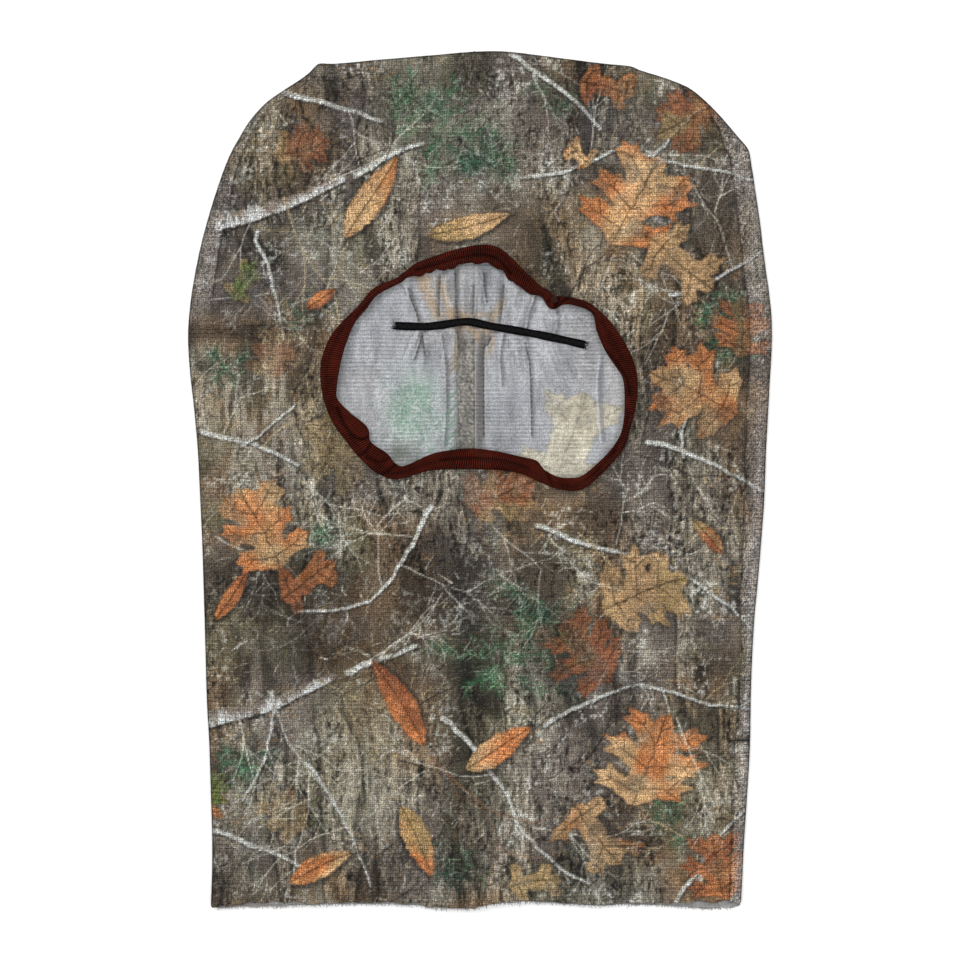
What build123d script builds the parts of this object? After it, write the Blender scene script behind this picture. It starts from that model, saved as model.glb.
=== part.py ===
"""Pull-on mesh face mask, laid flat on its back.

Frame: +Z up through the front of the hood, +Y towards the crown, +X towards
the wearer's left.  The back panels rest on Z = 0 and the origin is under the
middle of the flat outline.  Millimetres.
"""

import math
import os

from build123d import *

# ---------------------------------------------------------------- dimensions
FABRIC = 0.40            # knitted mesh, one layer
GAP = 0.05               # air between separate layers
INSET = 0.40             # back panel edge behind the outermost seam thread
FRONT_INSET = INSET + 0.10
ALLOWANCE = 6.5          # from the side curve to the turned-in raw edge
OVERLOCK_W = 0.50        # overlock thread along a raw allowance edge
THREAD_CLEAR = 0.08      # thread to the fabric edge beside it
RIM_Z = 1.25             # underside of the front panel at its seam

DOME = 5.0               # how far the front panel rises above its seam
DOME_START = 4.0         # distance in from the side curve where it starts
DOME_RUN = 20.0          # distance over which it gains half its rise
NECK_Y = -227.0
NECK_FLAT = 60.0         # the neck end lies flatter over this length
NECK_RISE = 0.30         # share of the rise left at the neck edge

CENTRE_SEAM_X = -2.9     # centre-back seam
SEAM_HALF_GAP = 0.05     # seam line to the edge of either back panel
CENTRE_ALLOWANCE = 10.4  # both centre allowances are pressed towards -X
ALLOW_END_X = CENTRE_SEAM_X - CENTRE_ALLOWANCE
CENTRE_NECK_Y = -224.0   # neck end of the centre allowances
CENTRE_CROWN_Y = 226.5 - 9.0  # they stop 9 mm short of the crown edge

# Heights in the stack of fabric at the centre back
PANEL_TOP = FABRIC
ALLOWANCE_TOP = 2 * FABRIC
FOLD_LOW = ALLOWANCE_TOP + GAP
FOLD_TOP = FOLD_LOW + FABRIC
THREAD_LOW = PANEL_TOP + GAP

# Cutting tools
WIDE = 400.0             # wider than the hood
LONG = 600.0             # longer than the hood
TALL = 30.0              # taller than any piece
NECK_TRIM_AT = (0.0, -250.0)   # block that ends the side allowances
NECK_TRIM_SIZE = (WIDE, 58.0)  # and their overlock thread at Y = -221

# Side and crown curve (x, y) of the flat hood, from the neck corner on -X
# over the crown to the neck corner on +X
SIDE_CURVE = [
    (-142.9, -227.6), (-142.3, -207.2), (-142.3, -188.7), (-142.9, -167.0),
    (-143.8, -139.9), (-145.0, -118.2), (-145.8, -91.2), (-146.5, -66.8),
    (-147.3, -39.8), (-148.2, -18.6), (-149.8, 14.3), (-151.9, 38.2),
    (-153.9, 56.0), (-155.0, 73.7), (-154.5, 87.0), (-152.5, 102.8),
    (-148.2, 124.6), (-142.3, 146.0), (-135.6, 165.4), (-127.9, 181.3),
    (-119.2, 194.0), (-110.8, 202.4), (-101.8, 209.2), (-92.8, 214.8),
    (-83.0, 219.2), (-72.6, 221.4), (-55.7, 223.0), (-36.8, 224.6),
    (-23.9, 225.7), (-10.6, 226.9), (0.0, 227.6), (10.6, 227.7),
    (21.2, 226.8), (32.3, 225.4), (47.7, 223.4), (66.8, 221.0),
    (79.0, 218.8), (90.1, 215.9), (101.8, 212.2), (111.3, 207.5),
    (119.4, 201.4), (127.2, 193.6), (134.9, 184.4), (140.9, 174.4),
    (145.0, 158.5), (148.2, 137.3), (151.2, 115.8), (153.4, 100.2),
    (154.8, 86.4), (154.9, 71.0), (153.6, 46.6), (152.1, 18.6),
    (150.8, -12.7), (149.2, -34.0), (147.6, -53.5), (146.0, -70.0),
    (144.7, -90.0), (143.9, -112.9), (143.5, -136.0), (142.8, -152.0),
    (141.7, -170.1), (140.6, -186.0), (139.6, -205.0), (138.5, -225.8),
]
# Back neck edge (x, y), from +X to -X, between the ends of the side curve
NECK_BACK = [
    (119.0, -227.2), (91.7, -225.4), (56.2, -225.6), (28.0, -224.2),
    (-7.6, -227.4), (-45.6, -225.3), (-94.3, -225.8), (-129.8, -227.0),
]
# Front neck edge (x, y), run past the hood at both ends
NECK_FRONT = [
    (160.0, -219.8), (127.2, -220.6), (104.0, -223.6), (75.8, -224.8),
    (56.2, -225.0), (28.0, -223.8), (-7.6, -226.8), (-45.6, -224.8),
    (-94.3, -225.0), (-111.3, -221.8), (-129.0, -220.6), (-160.0, -220.2),
]

OPENING_CENTRE = (0.0, 55.1)
# Radii of the face opening binding from that centre, every 10 degrees
# anticlockwise from +X
BINDING_OUTER = [
    82.9, 79.7, 75.6, 71.4, 64.6, 59.6, 58.4, 61.8, 67.0, 69.1, 68.1, 67.7,
    68.2, 69.3, 72.2, 74.8, 79.1, 83.0, 84.3, 83.4, 80.8, 77.9, 75.4, 69.6,
    59.5, 52.9, 50.2, 49.6, 50.7, 55.2, 66.0, 78.4, 82.3, 84.3, 84.4, 84.1,
]
BINDING_INNER = [
    74.6, 69.0, 66.4, 66.0, 59.0, 52.8, 50.7, 52.6, 56.6, 59.4, 59.6, 59.6,
    61.5, 64.4, 67.8, 70.2, 72.1, 73.1, 74.8, 74.4, 69.6, 67.0, 65.0, 60.4,
    48.6, 41.7, 39.0, 38.8, 40.4, 44.6, 53.0, 69.0, 76.5, 79.2, 79.4, 77.2,
]


# ------------------------------------------------------------------- helpers
def inset(points, distance):
    """The open curve moved to its right-hand side, which for the side curve
    is towards the inside of the hood."""
    moved = []
    for i, (x, y) in enumerate(points):
        x0, y0 = points[max(i - 1, 0)]
        x1, y1 = points[min(i + 1, len(points) - 1)]
        dx, dy = x1 - x0, y1 - y0
        length = math.hypot(dx, dy)
        moved.append((x + dy / length * distance, y - dx / length * distance))
    return moved


def allowance_curve():
    """Raw edge of the side allowance, its ends run past the neck edge."""
    curve = inset(SIDE_CURVE, ALLOWANCE)
    return [(curve[0][0], -235.0)] + curve[1:-1] + [(curve[-1][0], -235.0)]


def side_distance(x, y):
    """Distance from a point to the side curve, or 0 outside the hood."""
    # the sides run on well below the neck, so the neck edge does not count
    curve = [(-143.0, -400.0)] + SIDE_CURVE + [(139.0, -400.0)]
    inside = False
    for (x0, y0), (x1, y1) in zip(curve, curve[1:] + curve[:1]):
        if (y0 > y) != (y1 > y) and x < x0 + (y - y0) / (y1 - y0) * (x1 - x0):
            inside = not inside
    if not inside:
        return 0.0
    best = math.inf
    for (x0, y0), (x1, y1) in zip(curve, curve[1:]):
        dx, dy = x1 - x0, y1 - y0
        t = ((x - x0) * dx + (y - y0) * dy) / (dx * dx + dy * dy)
        t = min(max(t, 0.0), 1.0)
        best = min(best, math.hypot(x - x0 - t * dx, y - y0 - t * dy))
    return best


def dome_height(x, y):
    """Underside of the front panel above Z = 0."""
    run = max(side_distance(x, y) - DOME_START, 0.0)
    rise = 1.0 - 1.0 / (1.0 + (run / DOME_RUN) ** 2)
    t = min(max((y - NECK_Y) / NECK_FLAT, 0.0), 1.0)
    neck_share = NECK_RISE + (1.0 - NECK_RISE) * t * t * (3.0 - 2.0 * t)
    return RIM_Z + DOME * rise * neck_share


def dome_face(lift):
    """The front panel's underside as one smooth face, raised by lift."""
    columns, rows = 37, 49
    half_width, half_length = 175.0, 245.0
    grid = []
    for j in range(rows):
        y = -half_length + 2 * half_length * j / (rows - 1)
        grid.append([
            (x, y, dome_height(x, y) + lift)
            for x in [
                -half_width + 2 * half_width * i / (columns - 1)
                for i in range(columns)
            ]
        ])
    return Face.make_surface_from_array_of_points(grid, tol=0.02)


def opening_loop(share):
    """Points round the face opening: share 0 is the binding's outer edge, 1
    its inner edge."""
    cx, cy = OPENING_CENTRE
    loop = []
    for i, (outer, inner) in enumerate(zip(BINDING_OUTER, BINDING_INNER)):
        angle = math.radians(10 * i)
        radius = outer + (inner - outer) * share
        loop.append((cx + radius * math.cos(angle), cy + radius * math.sin(angle)))
    return loop


# --------------------------------------------------------------- back panels
def back_panel(side, fold_plane, fold_profile, fold_depth):
    """Back panel on one side of the centre seam (-1 for -X, 1 for +X), with
    its side allowance and the extruded profile of its centre allowance."""
    off_side = (CENTRE_SEAM_X + side * SEAM_HALF_GAP - side * WIDE / 2, 0.0)
    with BuildPart() as panel:
        with BuildSketch(Plane.XY):
            with BuildLine():
                edge = Spline(*inset(SIDE_CURVE, INSET))
                Spline(edge @ 1, *NECK_BACK, edge @ 0)
            make_face()
        extrude(amount=FABRIC)
        # everything on the other side of the centre seam is cut away
        with BuildSketch(Plane.XY.offset(-1)):
            with Locations(off_side):
                Rectangle(WIDE, LONG)
        extrude(amount=TALL, mode=Mode.SUBTRACT)
        # allowance turned in along the side and crown seam; it starts half
        # way up the panel so that the two layers join
        with BuildSketch(Plane.XY.offset(FABRIC / 2)):
            with BuildLine():
                rim = Spline(*inset(SIDE_CURVE, INSET))
                Line(rim @ 1, rim @ 0)
            make_face()
            with BuildLine():
                raw_edge = Spline(*allowance_curve())
                Line(raw_edge @ 1, raw_edge @ 0)
            make_face(mode=Mode.SUBTRACT)
            with Locations(off_side):
                Rectangle(WIDE, LONG, mode=Mode.SUBTRACT)
            with Locations(NECK_TRIM_AT):
                Rectangle(*NECK_TRIM_SIZE, mode=Mode.SUBTRACT)
        extrude(amount=FABRIC * 1.5)
        # centre-back allowance
        with BuildSketch(fold_plane):
            with BuildLine():
                Polyline(*fold_profile, close=True)
            make_face()
        extrude(amount=fold_depth)
    return panel


# the -X panel's allowance lies flat on it, drawn in plan
left_fold_x = CENTRE_SEAM_X - 0.15
back_panel_left = back_panel(
    side=-1,
    fold_plane=Plane.XY.offset(FABRIC / 2),
    fold_profile=[
        (ALLOW_END_X, CENTRE_NECK_Y), (left_fold_x, CENTRE_NECK_Y),
        (left_fold_x, CENTRE_CROWN_Y), (ALLOW_END_X, CENTRE_CROWN_Y),
    ],
    fold_depth=FABRIC * 1.5,
)

# the +X panel turns up at the seam and lies over the other allowance, drawn
# in cross-section (x, z)
right_fold_inner_x = CENTRE_SEAM_X + SEAM_HALF_GAP
right_fold_outer_x = right_fold_inner_x + FABRIC
back_panel_right = back_panel(
    side=1,
    fold_plane=Plane.XZ.offset(-CENTRE_NECK_Y),
    fold_profile=[
        (right_fold_inner_x, FABRIC / 2), (right_fold_outer_x, FABRIC / 2),
        (right_fold_outer_x, FOLD_TOP), (ALLOW_END_X, FOLD_TOP),
        (ALLOW_END_X, FOLD_LOW), (right_fold_inner_x, FOLD_LOW),
    ],
    fold_depth=-(CENTRE_CROWN_Y - CENTRE_NECK_Y),
)

# --------------------------------------------------------------- front panel
OPENING_EDGE = 0.5       # the panel's raw edge, midway across the binding
# Y of the lines that divide the panel's curved faces
PANEL_BANDS = [
    -240, -200, -160, -120, -80, -40, -8, 20, 45, 70, 95, 130, 160, 190, 240,
]

# room under the front panel: everything below its underside, inside the
# turned-in allowance, and open at the neck
with BuildPart() as front_room:
    extrude(dome_face(0.0), amount=-TALL, dir=(0, 0, 1))
    with BuildSketch(Plane.XY.offset(-TALL)):
        with BuildLine():
            raw_edge = Spline(*allowance_curve())
            Line(raw_edge @ 1, raw_edge @ 0)
        make_face()
    extrude(amount=3 * TALL, mode=Mode.INTERSECT)

# everything below the panel's upper face
with BuildPart() as front_crest:
    extrude(dome_face(FABRIC), amount=-TALL, dir=(0, 0, 1))

with BuildSketch() as front_outline:
    with BuildLine():
        edge = Spline(*inset(SIDE_CURVE, FRONT_INSET))
        Spline(edge @ 1, *NECK_BACK, edge @ 0)
    make_face()
    # the front neck edge is a little shorter at both corners
    with BuildLine():
        neck_cut = Spline(*NECK_FRONT)
        Polyline(neck_cut @ 1, (-160.0, -260.0), (160.0, -260.0), neck_cut @ 0)
    make_face(mode=Mode.SUBTRACT)
    with BuildLine():
        Spline(*opening_loop(OPENING_EDGE), periodic=True)
    make_face(mode=Mode.SUBTRACT)

with BuildPart() as front_panel:
    for low, high in zip(PANEL_BANDS, PANEL_BANDS[1:]):
        with BuildPart(mode=Mode.PRIVATE) as band:
            with BuildSketch(Plane.XY.offset(FOLD_LOW)):
                add(front_outline.sketch)
                with Locations((0.0, (low + high) / 2)):
                    Rectangle(WIDE, high - low, mode=Mode.INTERSECT)
            extrude(amount=TALL)
            add(front_crest.part, mode=Mode.INTERSECT)
            add(front_room.part, mode=Mode.SUBTRACT)
        # left unmerged, so the band lines stay
        add(band.part, clean=False)

# ----------------------------------------------------- face opening binding
BINDING_LIP = 0.60       # binding fabric above and below the front panel
BINDING_TOP = FABRIC + GAP + BINDING_LIP  # lifts are from the dome's underside
BINDING_THREAD = 0.20

# the front panel with air on both faces and beyond its raw edge
with BuildPart() as binding_slot:
    extrude(dome_face(FABRIC + GAP), amount=-(FABRIC + 2 * GAP), dir=(0, 0, 1))
    with BuildSketch(Plane.XY.offset(-TALL)):
        with BuildLine():
            Spline(*opening_loop(OPENING_EDGE + 0.02), periodic=True)
        make_face()
    extrude(amount=3 * TALL, mode=Mode.SUBTRACT)


def opening_ring(top, thickness, outer_share, inner_share, slot=None):
    """Ring round the face opening that follows the dome, between two shares
    of the binding's width, less an optional slot."""
    with BuildPart() as ring:
        extrude(dome_face(top), amount=-thickness, dir=(0, 0, 1))
        with BuildSketch(Plane.XY.offset(-TALL)):
            with BuildLine():
                Spline(*opening_loop(outer_share), periodic=True)
            make_face()
            with BuildLine():
                Spline(*opening_loop(inner_share), periodic=True)
            make_face(mode=Mode.SUBTRACT)
        extrude(amount=3 * TALL, mode=Mode.INTERSECT)
        if slot is not None:
            add(slot.part, mode=Mode.SUBTRACT)
    return ring


# folded knit binding that closes round the raw edge of the front panel
eye_opening_binding = opening_ring(
    top=BINDING_TOP,
    thickness=FABRIC + 2 * GAP + 2 * BINDING_LIP,
    outer_share=0.0,
    inner_share=1.0,
    slot=binding_slot,
)

# stitching that holds the binding shut, as one narrow ring just above it
binding_stitching = opening_ring(
    top=BINDING_TOP + GAP + BINDING_THREAD,
    thickness=BINDING_THREAD,
    outer_share=0.26,
    inner_share=0.32,
)

# bar of tack stitches across the place where the binding's two ends meet
TACK_AT = (37.5, 94.6)   # first stitch
TACK_STEP = (0.7, 0.35)
TACK_ANGLE = -60.0
TACK_STITCHES = 5
TACK_CLEAR = 0.30        # above the underside of the binding stitching
TACK_T = 0.25
with BuildPart() as binding_join_tack:
    with BuildSketch(Plane.XY):
        for i in range(TACK_STITCHES):
            x = TACK_AT[0] + TACK_STEP[0] * i
            y = TACK_AT[1] + TACK_STEP[1] * i
            with Locations(Location((x, y), (0, 0, TACK_ANGLE))):
                Rectangle(3.4, 0.3)
    extrude(amount=TALL)
    with BuildPart(mode=Mode.PRIVATE) as tack_layer:
        extrude(
            dome_face(BINDING_TOP + GAP + TACK_CLEAR + TACK_T),
            amount=-TACK_T, dir=(0, 0, 1),
        )
    add(tack_layer.part, mode=Mode.INTERSECT)

# --------------------------------------------------------------- rear elastic
ELASTIC_W = 4.3          # flat elastic across the back of the head
ELASTIC_T = 0.80
# Centre line (x, y) of the elastic, laid with a small peak
ELASTIC_LINE = [
    (-44.5, 81.6), (-26.5, 81.4), (-13.3, 83.5), (-8.0, 84.0),
    (5.3, 81.6), (26.5, 77.9), (42.4, 74.7), (56.2, 71.6),
]
ELASTIC_LOW = PANEL_TOP + 2 * GAP
ELASTIC_FLAT_TOP = ELASTIC_LOW + ELASTIC_T
CROSS_LOW = 3 * FABRIC + 4 * GAP  # underside where it crosses the allowances
CROSS_TOP = CROSS_LOW + ELASTIC_T
# X ends of the raised upper face, and of the hollow under it
RAISED_X = (ALLOW_END_X - 2.2, CENTRE_SEAM_X + 2.0)
HOLLOW_X = (ALLOW_END_X - 0.8, CENTRE_SEAM_X + 0.9)
CUT_W = 80.0
CUT_H = 10.0

with BuildPart() as rear_elastic:
    with BuildSketch(Plane.XY.offset(ELASTIC_LOW)):
        neck_side = inset(ELASTIC_LINE, ELASTIC_W / 2)
        crown_side = inset(ELASTIC_LINE, -ELASTIC_W / 2)
        with BuildLine():
            neck_edge = Spline(*neck_side)
            Line(neck_edge @ 1, crown_side[-1])
            crown_edge = Spline(*reversed(crown_side))
            Line(crown_edge @ 1, neck_edge @ 0)
        make_face()
    extrude(amount=CROSS_TOP - ELASTIC_LOW)
    # it lies on the panel, and steps up over the centre-back allowance
    with BuildSketch(Plane.XZ.offset(-120.0)):
        with Locations(
            (RAISED_X[0] - CUT_W / 2, ELASTIC_FLAT_TOP + CUT_H / 2),
            (RAISED_X[1] + CUT_W / 2, ELASTIC_FLAT_TOP + CUT_H / 2),
        ):
            Rectangle(CUT_W, CUT_H)
        with Locations((sum(HOLLOW_X) / 2, CROSS_LOW - CUT_H / 2)):
            Rectangle(HOLLOW_X[1] - HOLLOW_X[0], CUT_H)
    extrude(amount=100.0, mode=Mode.SUBTRACT)

# zigzag stitches along the upper face of the elastic
ZIGZAG_COUNT = 34
ZIGZAG_START_X = -42.5
ZIGZAG_RUN = 96.0
ZIGZAG_TURN = 38.0       # either way from the line of the elastic


def elastic_at(x):
    """Y and direction in degrees of the elastic's centre line at x."""
    for (x0, y0), (x1, y1) in zip(ELASTIC_LINE, ELASTIC_LINE[1:]):
        if x0 <= x <= x1:
            y = y0 + (y1 - y0) * (x - x0) / (x1 - x0)
            return y, math.degrees(math.atan2(y1 - y0, x1 - x0))


with BuildPart() as rear_elastic_stitching:
    for i in range(ZIGZAG_COUNT):
        x = ZIGZAG_START_X + (i + 0.5) / ZIGZAG_COUNT * ZIGZAG_RUN
        raised = ALLOW_END_X - 2.4 < x < CENTRE_SEAM_X + 2.2
        near_step = ALLOW_END_X - 3.6 < x < CENTRE_SEAM_X + 3.4
        # a low stitch this close could run into the step
        if near_step and not raised:
            continue
        y, lean = elastic_at(x)
        z = (CROSS_TOP if raised else ELASTIC_FLAT_TOP) + GAP
        turn = math.radians(lean + (ZIGZAG_TURN if i % 2 else -ZIGZAG_TURN))
        with BuildSketch(Plane((x, y, z), x_dir=(math.cos(turn), math.sin(turn), 0))):
            Rectangle(2.6, 0.28)
        extrude(amount=0.2)


# --------------------------------------------------------------- seam threads
def side_thread(outer_inset, inner_inset, low, height, trim_neck):
    """Flat thread along the side and crown seam, between two insets."""
    with BuildPart() as thread:
        with BuildSketch(Plane.XY.offset(low)):
            with BuildLine():
                outer = Spline(*inset(SIDE_CURVE, outer_inset))
                inner = Spline(*inset(SIDE_CURVE, inner_inset))
                Line(outer @ 0, inner @ 0)
                Line(outer @ 1, inner @ 1)
            make_face()
            if trim_neck:
                with Locations(NECK_TRIM_AT):
                    Rectangle(*NECK_TRIM_SIZE, mode=Mode.SUBTRACT)
        extrude(amount=height)
    return thread


# needle thread, the outermost line of the hood
perimeter_seam_needle_thread = side_thread(
    outer_inset=0.0,
    inner_inset=INSET - THREAD_CLEAR,
    low=0.7,
    height=0.35,
    trim_neck=False,
)

# overlock thread along the raw edge of the side allowances
perimeter_seam_overlock_thread = side_thread(
    outer_inset=ALLOWANCE + THREAD_CLEAR,
    inner_inset=ALLOWANCE + THREAD_CLEAR + OVERLOCK_W,
    low=THREAD_LOW,
    height=RIM_Z - FABRIC - 2 * GAP,
    trim_neck=True,
)

# centre-back seam: its line of needle stitches on the inside face
STITCH_PITCH = 2.2
STITCH_START_Y = -222.0
STITCH_X = right_fold_outer_x + 0.25
stitch_count = int((CENTRE_CROWN_Y - STITCH_START_Y) / STITCH_PITCH)
stitch_ys = [STITCH_START_Y + STITCH_PITCH * (i + 0.5) for i in range(stitch_count)]
with BuildPart() as centre_back_needle_thread:
    with BuildSketch(Plane.XY.offset(THREAD_LOW)):
        # left out where the elastic crosses
        with Locations(*[(STITCH_X, y) for y in stitch_ys if not 78.0 < y < 88.0]):
            Rectangle(0.28, 1.5)
    extrude(amount=0.22)

# and the overlock thread along the raw edge of its two allowances
with BuildPart() as centre_back_overlock_thread:
    with BuildSketch(Plane.XY.offset(THREAD_LOW)):
        with Locations((
            ALLOW_END_X - THREAD_CLEAR - OVERLOCK_W / 2,
            (CENTRE_CROWN_Y + CENTRE_NECK_Y) / 2,
        )):
            Rectangle(OVERLOCK_W, CENTRE_CROWN_Y - CENTRE_NECK_Y)
    extrude(amount=FOLD_TOP - THREAD_LOW)

# -------------------------------------------------------------------- export
pieces = {
    "front_panel": front_panel,
    "back_panel_left": back_panel_left,
    "back_panel_right": back_panel_right,
    "eye_opening_binding": eye_opening_binding,
    "binding_stitching": binding_stitching,
    "binding_join_tack": binding_join_tack,
    "rear_elastic": rear_elastic,
    "rear_elastic_stitching": rear_elastic_stitching,
    "perimeter_seam_needle_thread": perimeter_seam_needle_thread,
    "perimeter_seam_overlock_thread": perimeter_seam_overlock_thread,
    "centre_back_needle_thread": centre_back_needle_thread,
    "centre_back_overlock_thread": centre_back_overlock_thread,
}
os.makedirs("parts", exist_ok=True)
for name, piece in pieces.items():
    part = piece.part
    part.label = name
    export_step(part, f"parts/{name}.step")
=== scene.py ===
"""A mesh camouflage hood with a bound eye opening, lying flat on its back.

In its frame x is right, y is towards the crown and z is up, off the floor. The
front panel is on top, and the inside of the back panel and its elastic show
through the opening. Lengths are millimetres until a mesh is made.
"""

import math

import bpy
import numpy as np
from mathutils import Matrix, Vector


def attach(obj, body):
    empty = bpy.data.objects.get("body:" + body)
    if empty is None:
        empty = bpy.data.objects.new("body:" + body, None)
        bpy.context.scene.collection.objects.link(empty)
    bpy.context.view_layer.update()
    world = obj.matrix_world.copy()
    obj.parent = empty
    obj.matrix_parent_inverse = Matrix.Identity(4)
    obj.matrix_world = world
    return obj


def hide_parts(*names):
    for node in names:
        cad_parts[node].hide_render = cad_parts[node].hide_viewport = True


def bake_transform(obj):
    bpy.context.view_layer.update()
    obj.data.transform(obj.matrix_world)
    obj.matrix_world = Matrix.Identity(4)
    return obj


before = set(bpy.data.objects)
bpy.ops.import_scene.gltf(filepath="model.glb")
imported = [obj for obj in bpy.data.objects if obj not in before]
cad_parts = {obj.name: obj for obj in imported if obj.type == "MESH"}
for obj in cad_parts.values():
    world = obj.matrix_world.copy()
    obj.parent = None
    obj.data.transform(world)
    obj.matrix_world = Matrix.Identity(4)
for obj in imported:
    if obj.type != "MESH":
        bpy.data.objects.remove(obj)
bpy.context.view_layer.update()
MM = 0.001
TURN = 2 * math.pi

# ------------------------------------------------------------------ outlines
# All are (x, y). The side outline runs from the left neck corner over the
# crown to the right neck corner.
SIDE = [
    (-142.9, -227.6), (-142.3, -207.2), (-142.3, -188.7), (-142.9, -167.0), (-143.8, -139.9),
    (-145.0, -118.2), (-145.8, -91.2), (-146.5, -66.8), (-147.3, -39.8), (-148.2, -18.6),
    (-149.8, 14.3), (-151.9, 38.2), (-153.9, 56.0), (-155.0, 73.7), (-154.5, 87.0),
    (-152.5, 102.8), (-148.2, 124.6), (-142.3, 146.0), (-136.0, 164.8), (-131.4, 175.4),
    (-127.7, 181.8), (-124.0, 188.2), (-119.2, 194.5), (-112.9, 200.9), (-103.9, 207.2),
    (-95.6, 212.6), (-90.6, 216.4), (-87.2, 220.0), (-84.6, 221.2), (-79.0, 221.0),
    (-72.6, 221.4), (-55.7, 223.0), (-36.8, 224.6), (-23.9, 225.7), (-10.6, 226.9),
    (0.0, 227.6), (10.6, 227.7), (21.2, 226.8), (32.3, 225.4), (47.7, 223.4), (66.8, 221.0),
    (79.4, 219.8), (85.6, 217.4), (96.6, 214.0), (107.4, 210.0), (113.4, 206.6),
    (119.8, 201.2), (126.7, 194.3), (132.2, 188.0), (137.5, 181.6), (141.6, 176.9),
    (143.2, 173.2), (144.4, 165.4), (146.0, 155.0), (148.6, 137.3), (151.2, 115.8),
    (153.4, 100.2), (154.8, 86.4), (154.9, 71.0), (153.6, 46.6), (152.1, 18.6),
    (150.8, -12.7), (149.2, -34.0), (147.6, -53.5), (146.0, -70.0), (144.7, -90.0),
    (143.9, -112.9), (143.5, -136.0), (142.8, -152.0), (141.7, -170.1), (140.6, -186.0),
    (139.6, -205.0), (138.5, -225.8),
]
# Neck edges, from right to left.
NECK_BACK = [
    (134.0, -227.2), (119.0, -227.5), (102.8, -226.3), (91.7, -225.5), (75.8, -225.4),
    (56.2, -225.9), (34.5, -224.3), (21.7, -224.3), (6.4, -225.4), (0.0, -227.1),
    (-7.6, -227.8), (-23.9, -227.4), (-32.3, -226.0), (-45.6, -225.4), (-67.0, -225.2),
    (-94.3, -226.0), (-110.0, -226.6), (-129.8, -226.8), (-138.0, -227.8),
]
NECK_FRONT = [
    (138.4, -224.4), (131.2, -223.4), (124.0, -224.2), (117.0, -223.0), (110.0, -224.4),
    (104.8, -224.0), (99.8, -224.8), (91.7, -224.6), (75.8, -224.6), (56.2, -225.0),
    (34.5, -223.4), (21.7, -223.3), (6.4, -224.6), (0.0, -226.4), (-7.6, -227.1),
    (-23.9, -226.6), (-32.3, -225.0), (-45.6, -224.4), (-67.0, -224.2), (-90.0, -225.0),
    (-97.0, -223.6), (-102.7, -224.6), (-108.3, -223.2), (-114.0, -224.6), (-121.0, -224.0),
    (-128.0, -225.6), (-135.0, -226.2), (-142.4, -227.0),
]
# Outer and inner edges of the binding round the opening.
BIND_OUT = [
    (2.0, 124.6), (-10.2, 122.7), (-22.4, 119.0), (-34.6, 114.2), (-43.1, 107.6),
    (-56.4, 101.4), (-63.8, 92.9), (-73.5, 83.2), (-79.6, 75.3), (-83.8, 64.1),
    (-84.4, 51.9), (-82.0, 39.8), (-77.2, 29.2), (-70.0, 19.1), (-63.8, 11.9), (-56.4, 4.8),
    (-46.7, 0.5), (-38.2, 1.6), (-27.2, 4.8), (-12.7, 5.8), (8.0, 5.3), (21.2, 3.4),
    (32.3, -1.4), (39.6, -4.5), (50.6, -5.7), (57.9, -2.7), (68.9, 7.7), (76.2, 17.0),
    (79.8, 27.8), (82.8, 39.9), (83.5, 51.9), (81.6, 62.0), (77.4, 71.5), (70.0, 82.7),
    (61.5, 91.2), (54.1, 95.4), (44.5, 97.0), (39.2, 97.6), (36.6, 100.2), (32.3, 102.6),
    (24.9, 109.3), (17.8, 116.6), (10.4, 122.7),
]
BIND_IN = [
    (2.0, 114.9), (-3.0, 114.2), (-7.8, 114.9), (-12.5, 112.8), (-17.5, 111.1),
    (-22.4, 111.2), (-27.2, 109.5), (-32.1, 107.9), (-38.2, 107.2), (-41.9, 104.4),
    (-54.1, 98.0), (-60.1, 90.4), (-66.2, 83.0), (-71.0, 71.5), (-74.2, 59.4),
    (-75.9, 47.2), (-75.0, 42.2), (-68.6, 35.6), (-61.5, 30.0), (-58.8, 26.0),
    (-57.6, 20.0), (-49.3, 14.2), (-45.6, 9.6), (-41.9, 7.4), (-37.1, 8.6), (-27.2, 13.2),
    (-17.5, 15.6), (-4.2, 16.8), (9.0, 15.2), (20.1, 12.7), (29.9, 10.3), (33.4, 6.0),
    (40.8, 1.9), (48.2, 1.2), (54.1, 2.4), (61.5, 8.3), (68.9, 15.8), (74.2, 24.1),
    (76.2, 33.9), (76.4, 47.0), (75.2, 54.5), (71.9, 59.8), (66.0, 68.8), (61.7, 79.0),
    (59.3, 88.2), (50.6, 92.2), (44.5, 92.8), (39.4, 90.4), (36.0, 91.6), (32.3, 97.0),
    (26.3, 98.4), (21.2, 102.2), (15.4, 106.0), (12.3, 110.0), (6.9, 113.2),
]
# Middle of the elastic across the inside of the back, left to right.
ELASTIC = [
    (-44.8, 81.8), (-36.0, 81.4), (-26.5, 81.4), (-13.3, 83.2), (-8.0, 83.8),
    (-3.0, 83.4), (5.3, 81.6), (26.5, 77.9), (42.4, 74.7), (55.6, 71.7),
]
OPEN_X, OPEN_Y = 0.0, 55.1   # middle of the opening
SEAM_X = -2.9                # centre-back seam
THICK = 0.4                  # cloth thickness


# ---------------------------------------------------------- shaping functions
def ramp(low, high, x):
    """A smooth rise from 0 at low to 1 at high."""
    t = np.clip((x - low) / (high - low), 0, 1)
    return t * t * (3 - 2 * t)


def bell(x, width):
    return np.exp(-((x / width) ** 2))


def blob(x, y, cx, cy, wide, tall, power=1.0):
    """1 at a centre, fading out over an ellipse; a higher power is flatter."""
    return np.exp(-((((x - cx) / wide) ** 2 + ((y - cy) / tall) ** 2) ** power))


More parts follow.
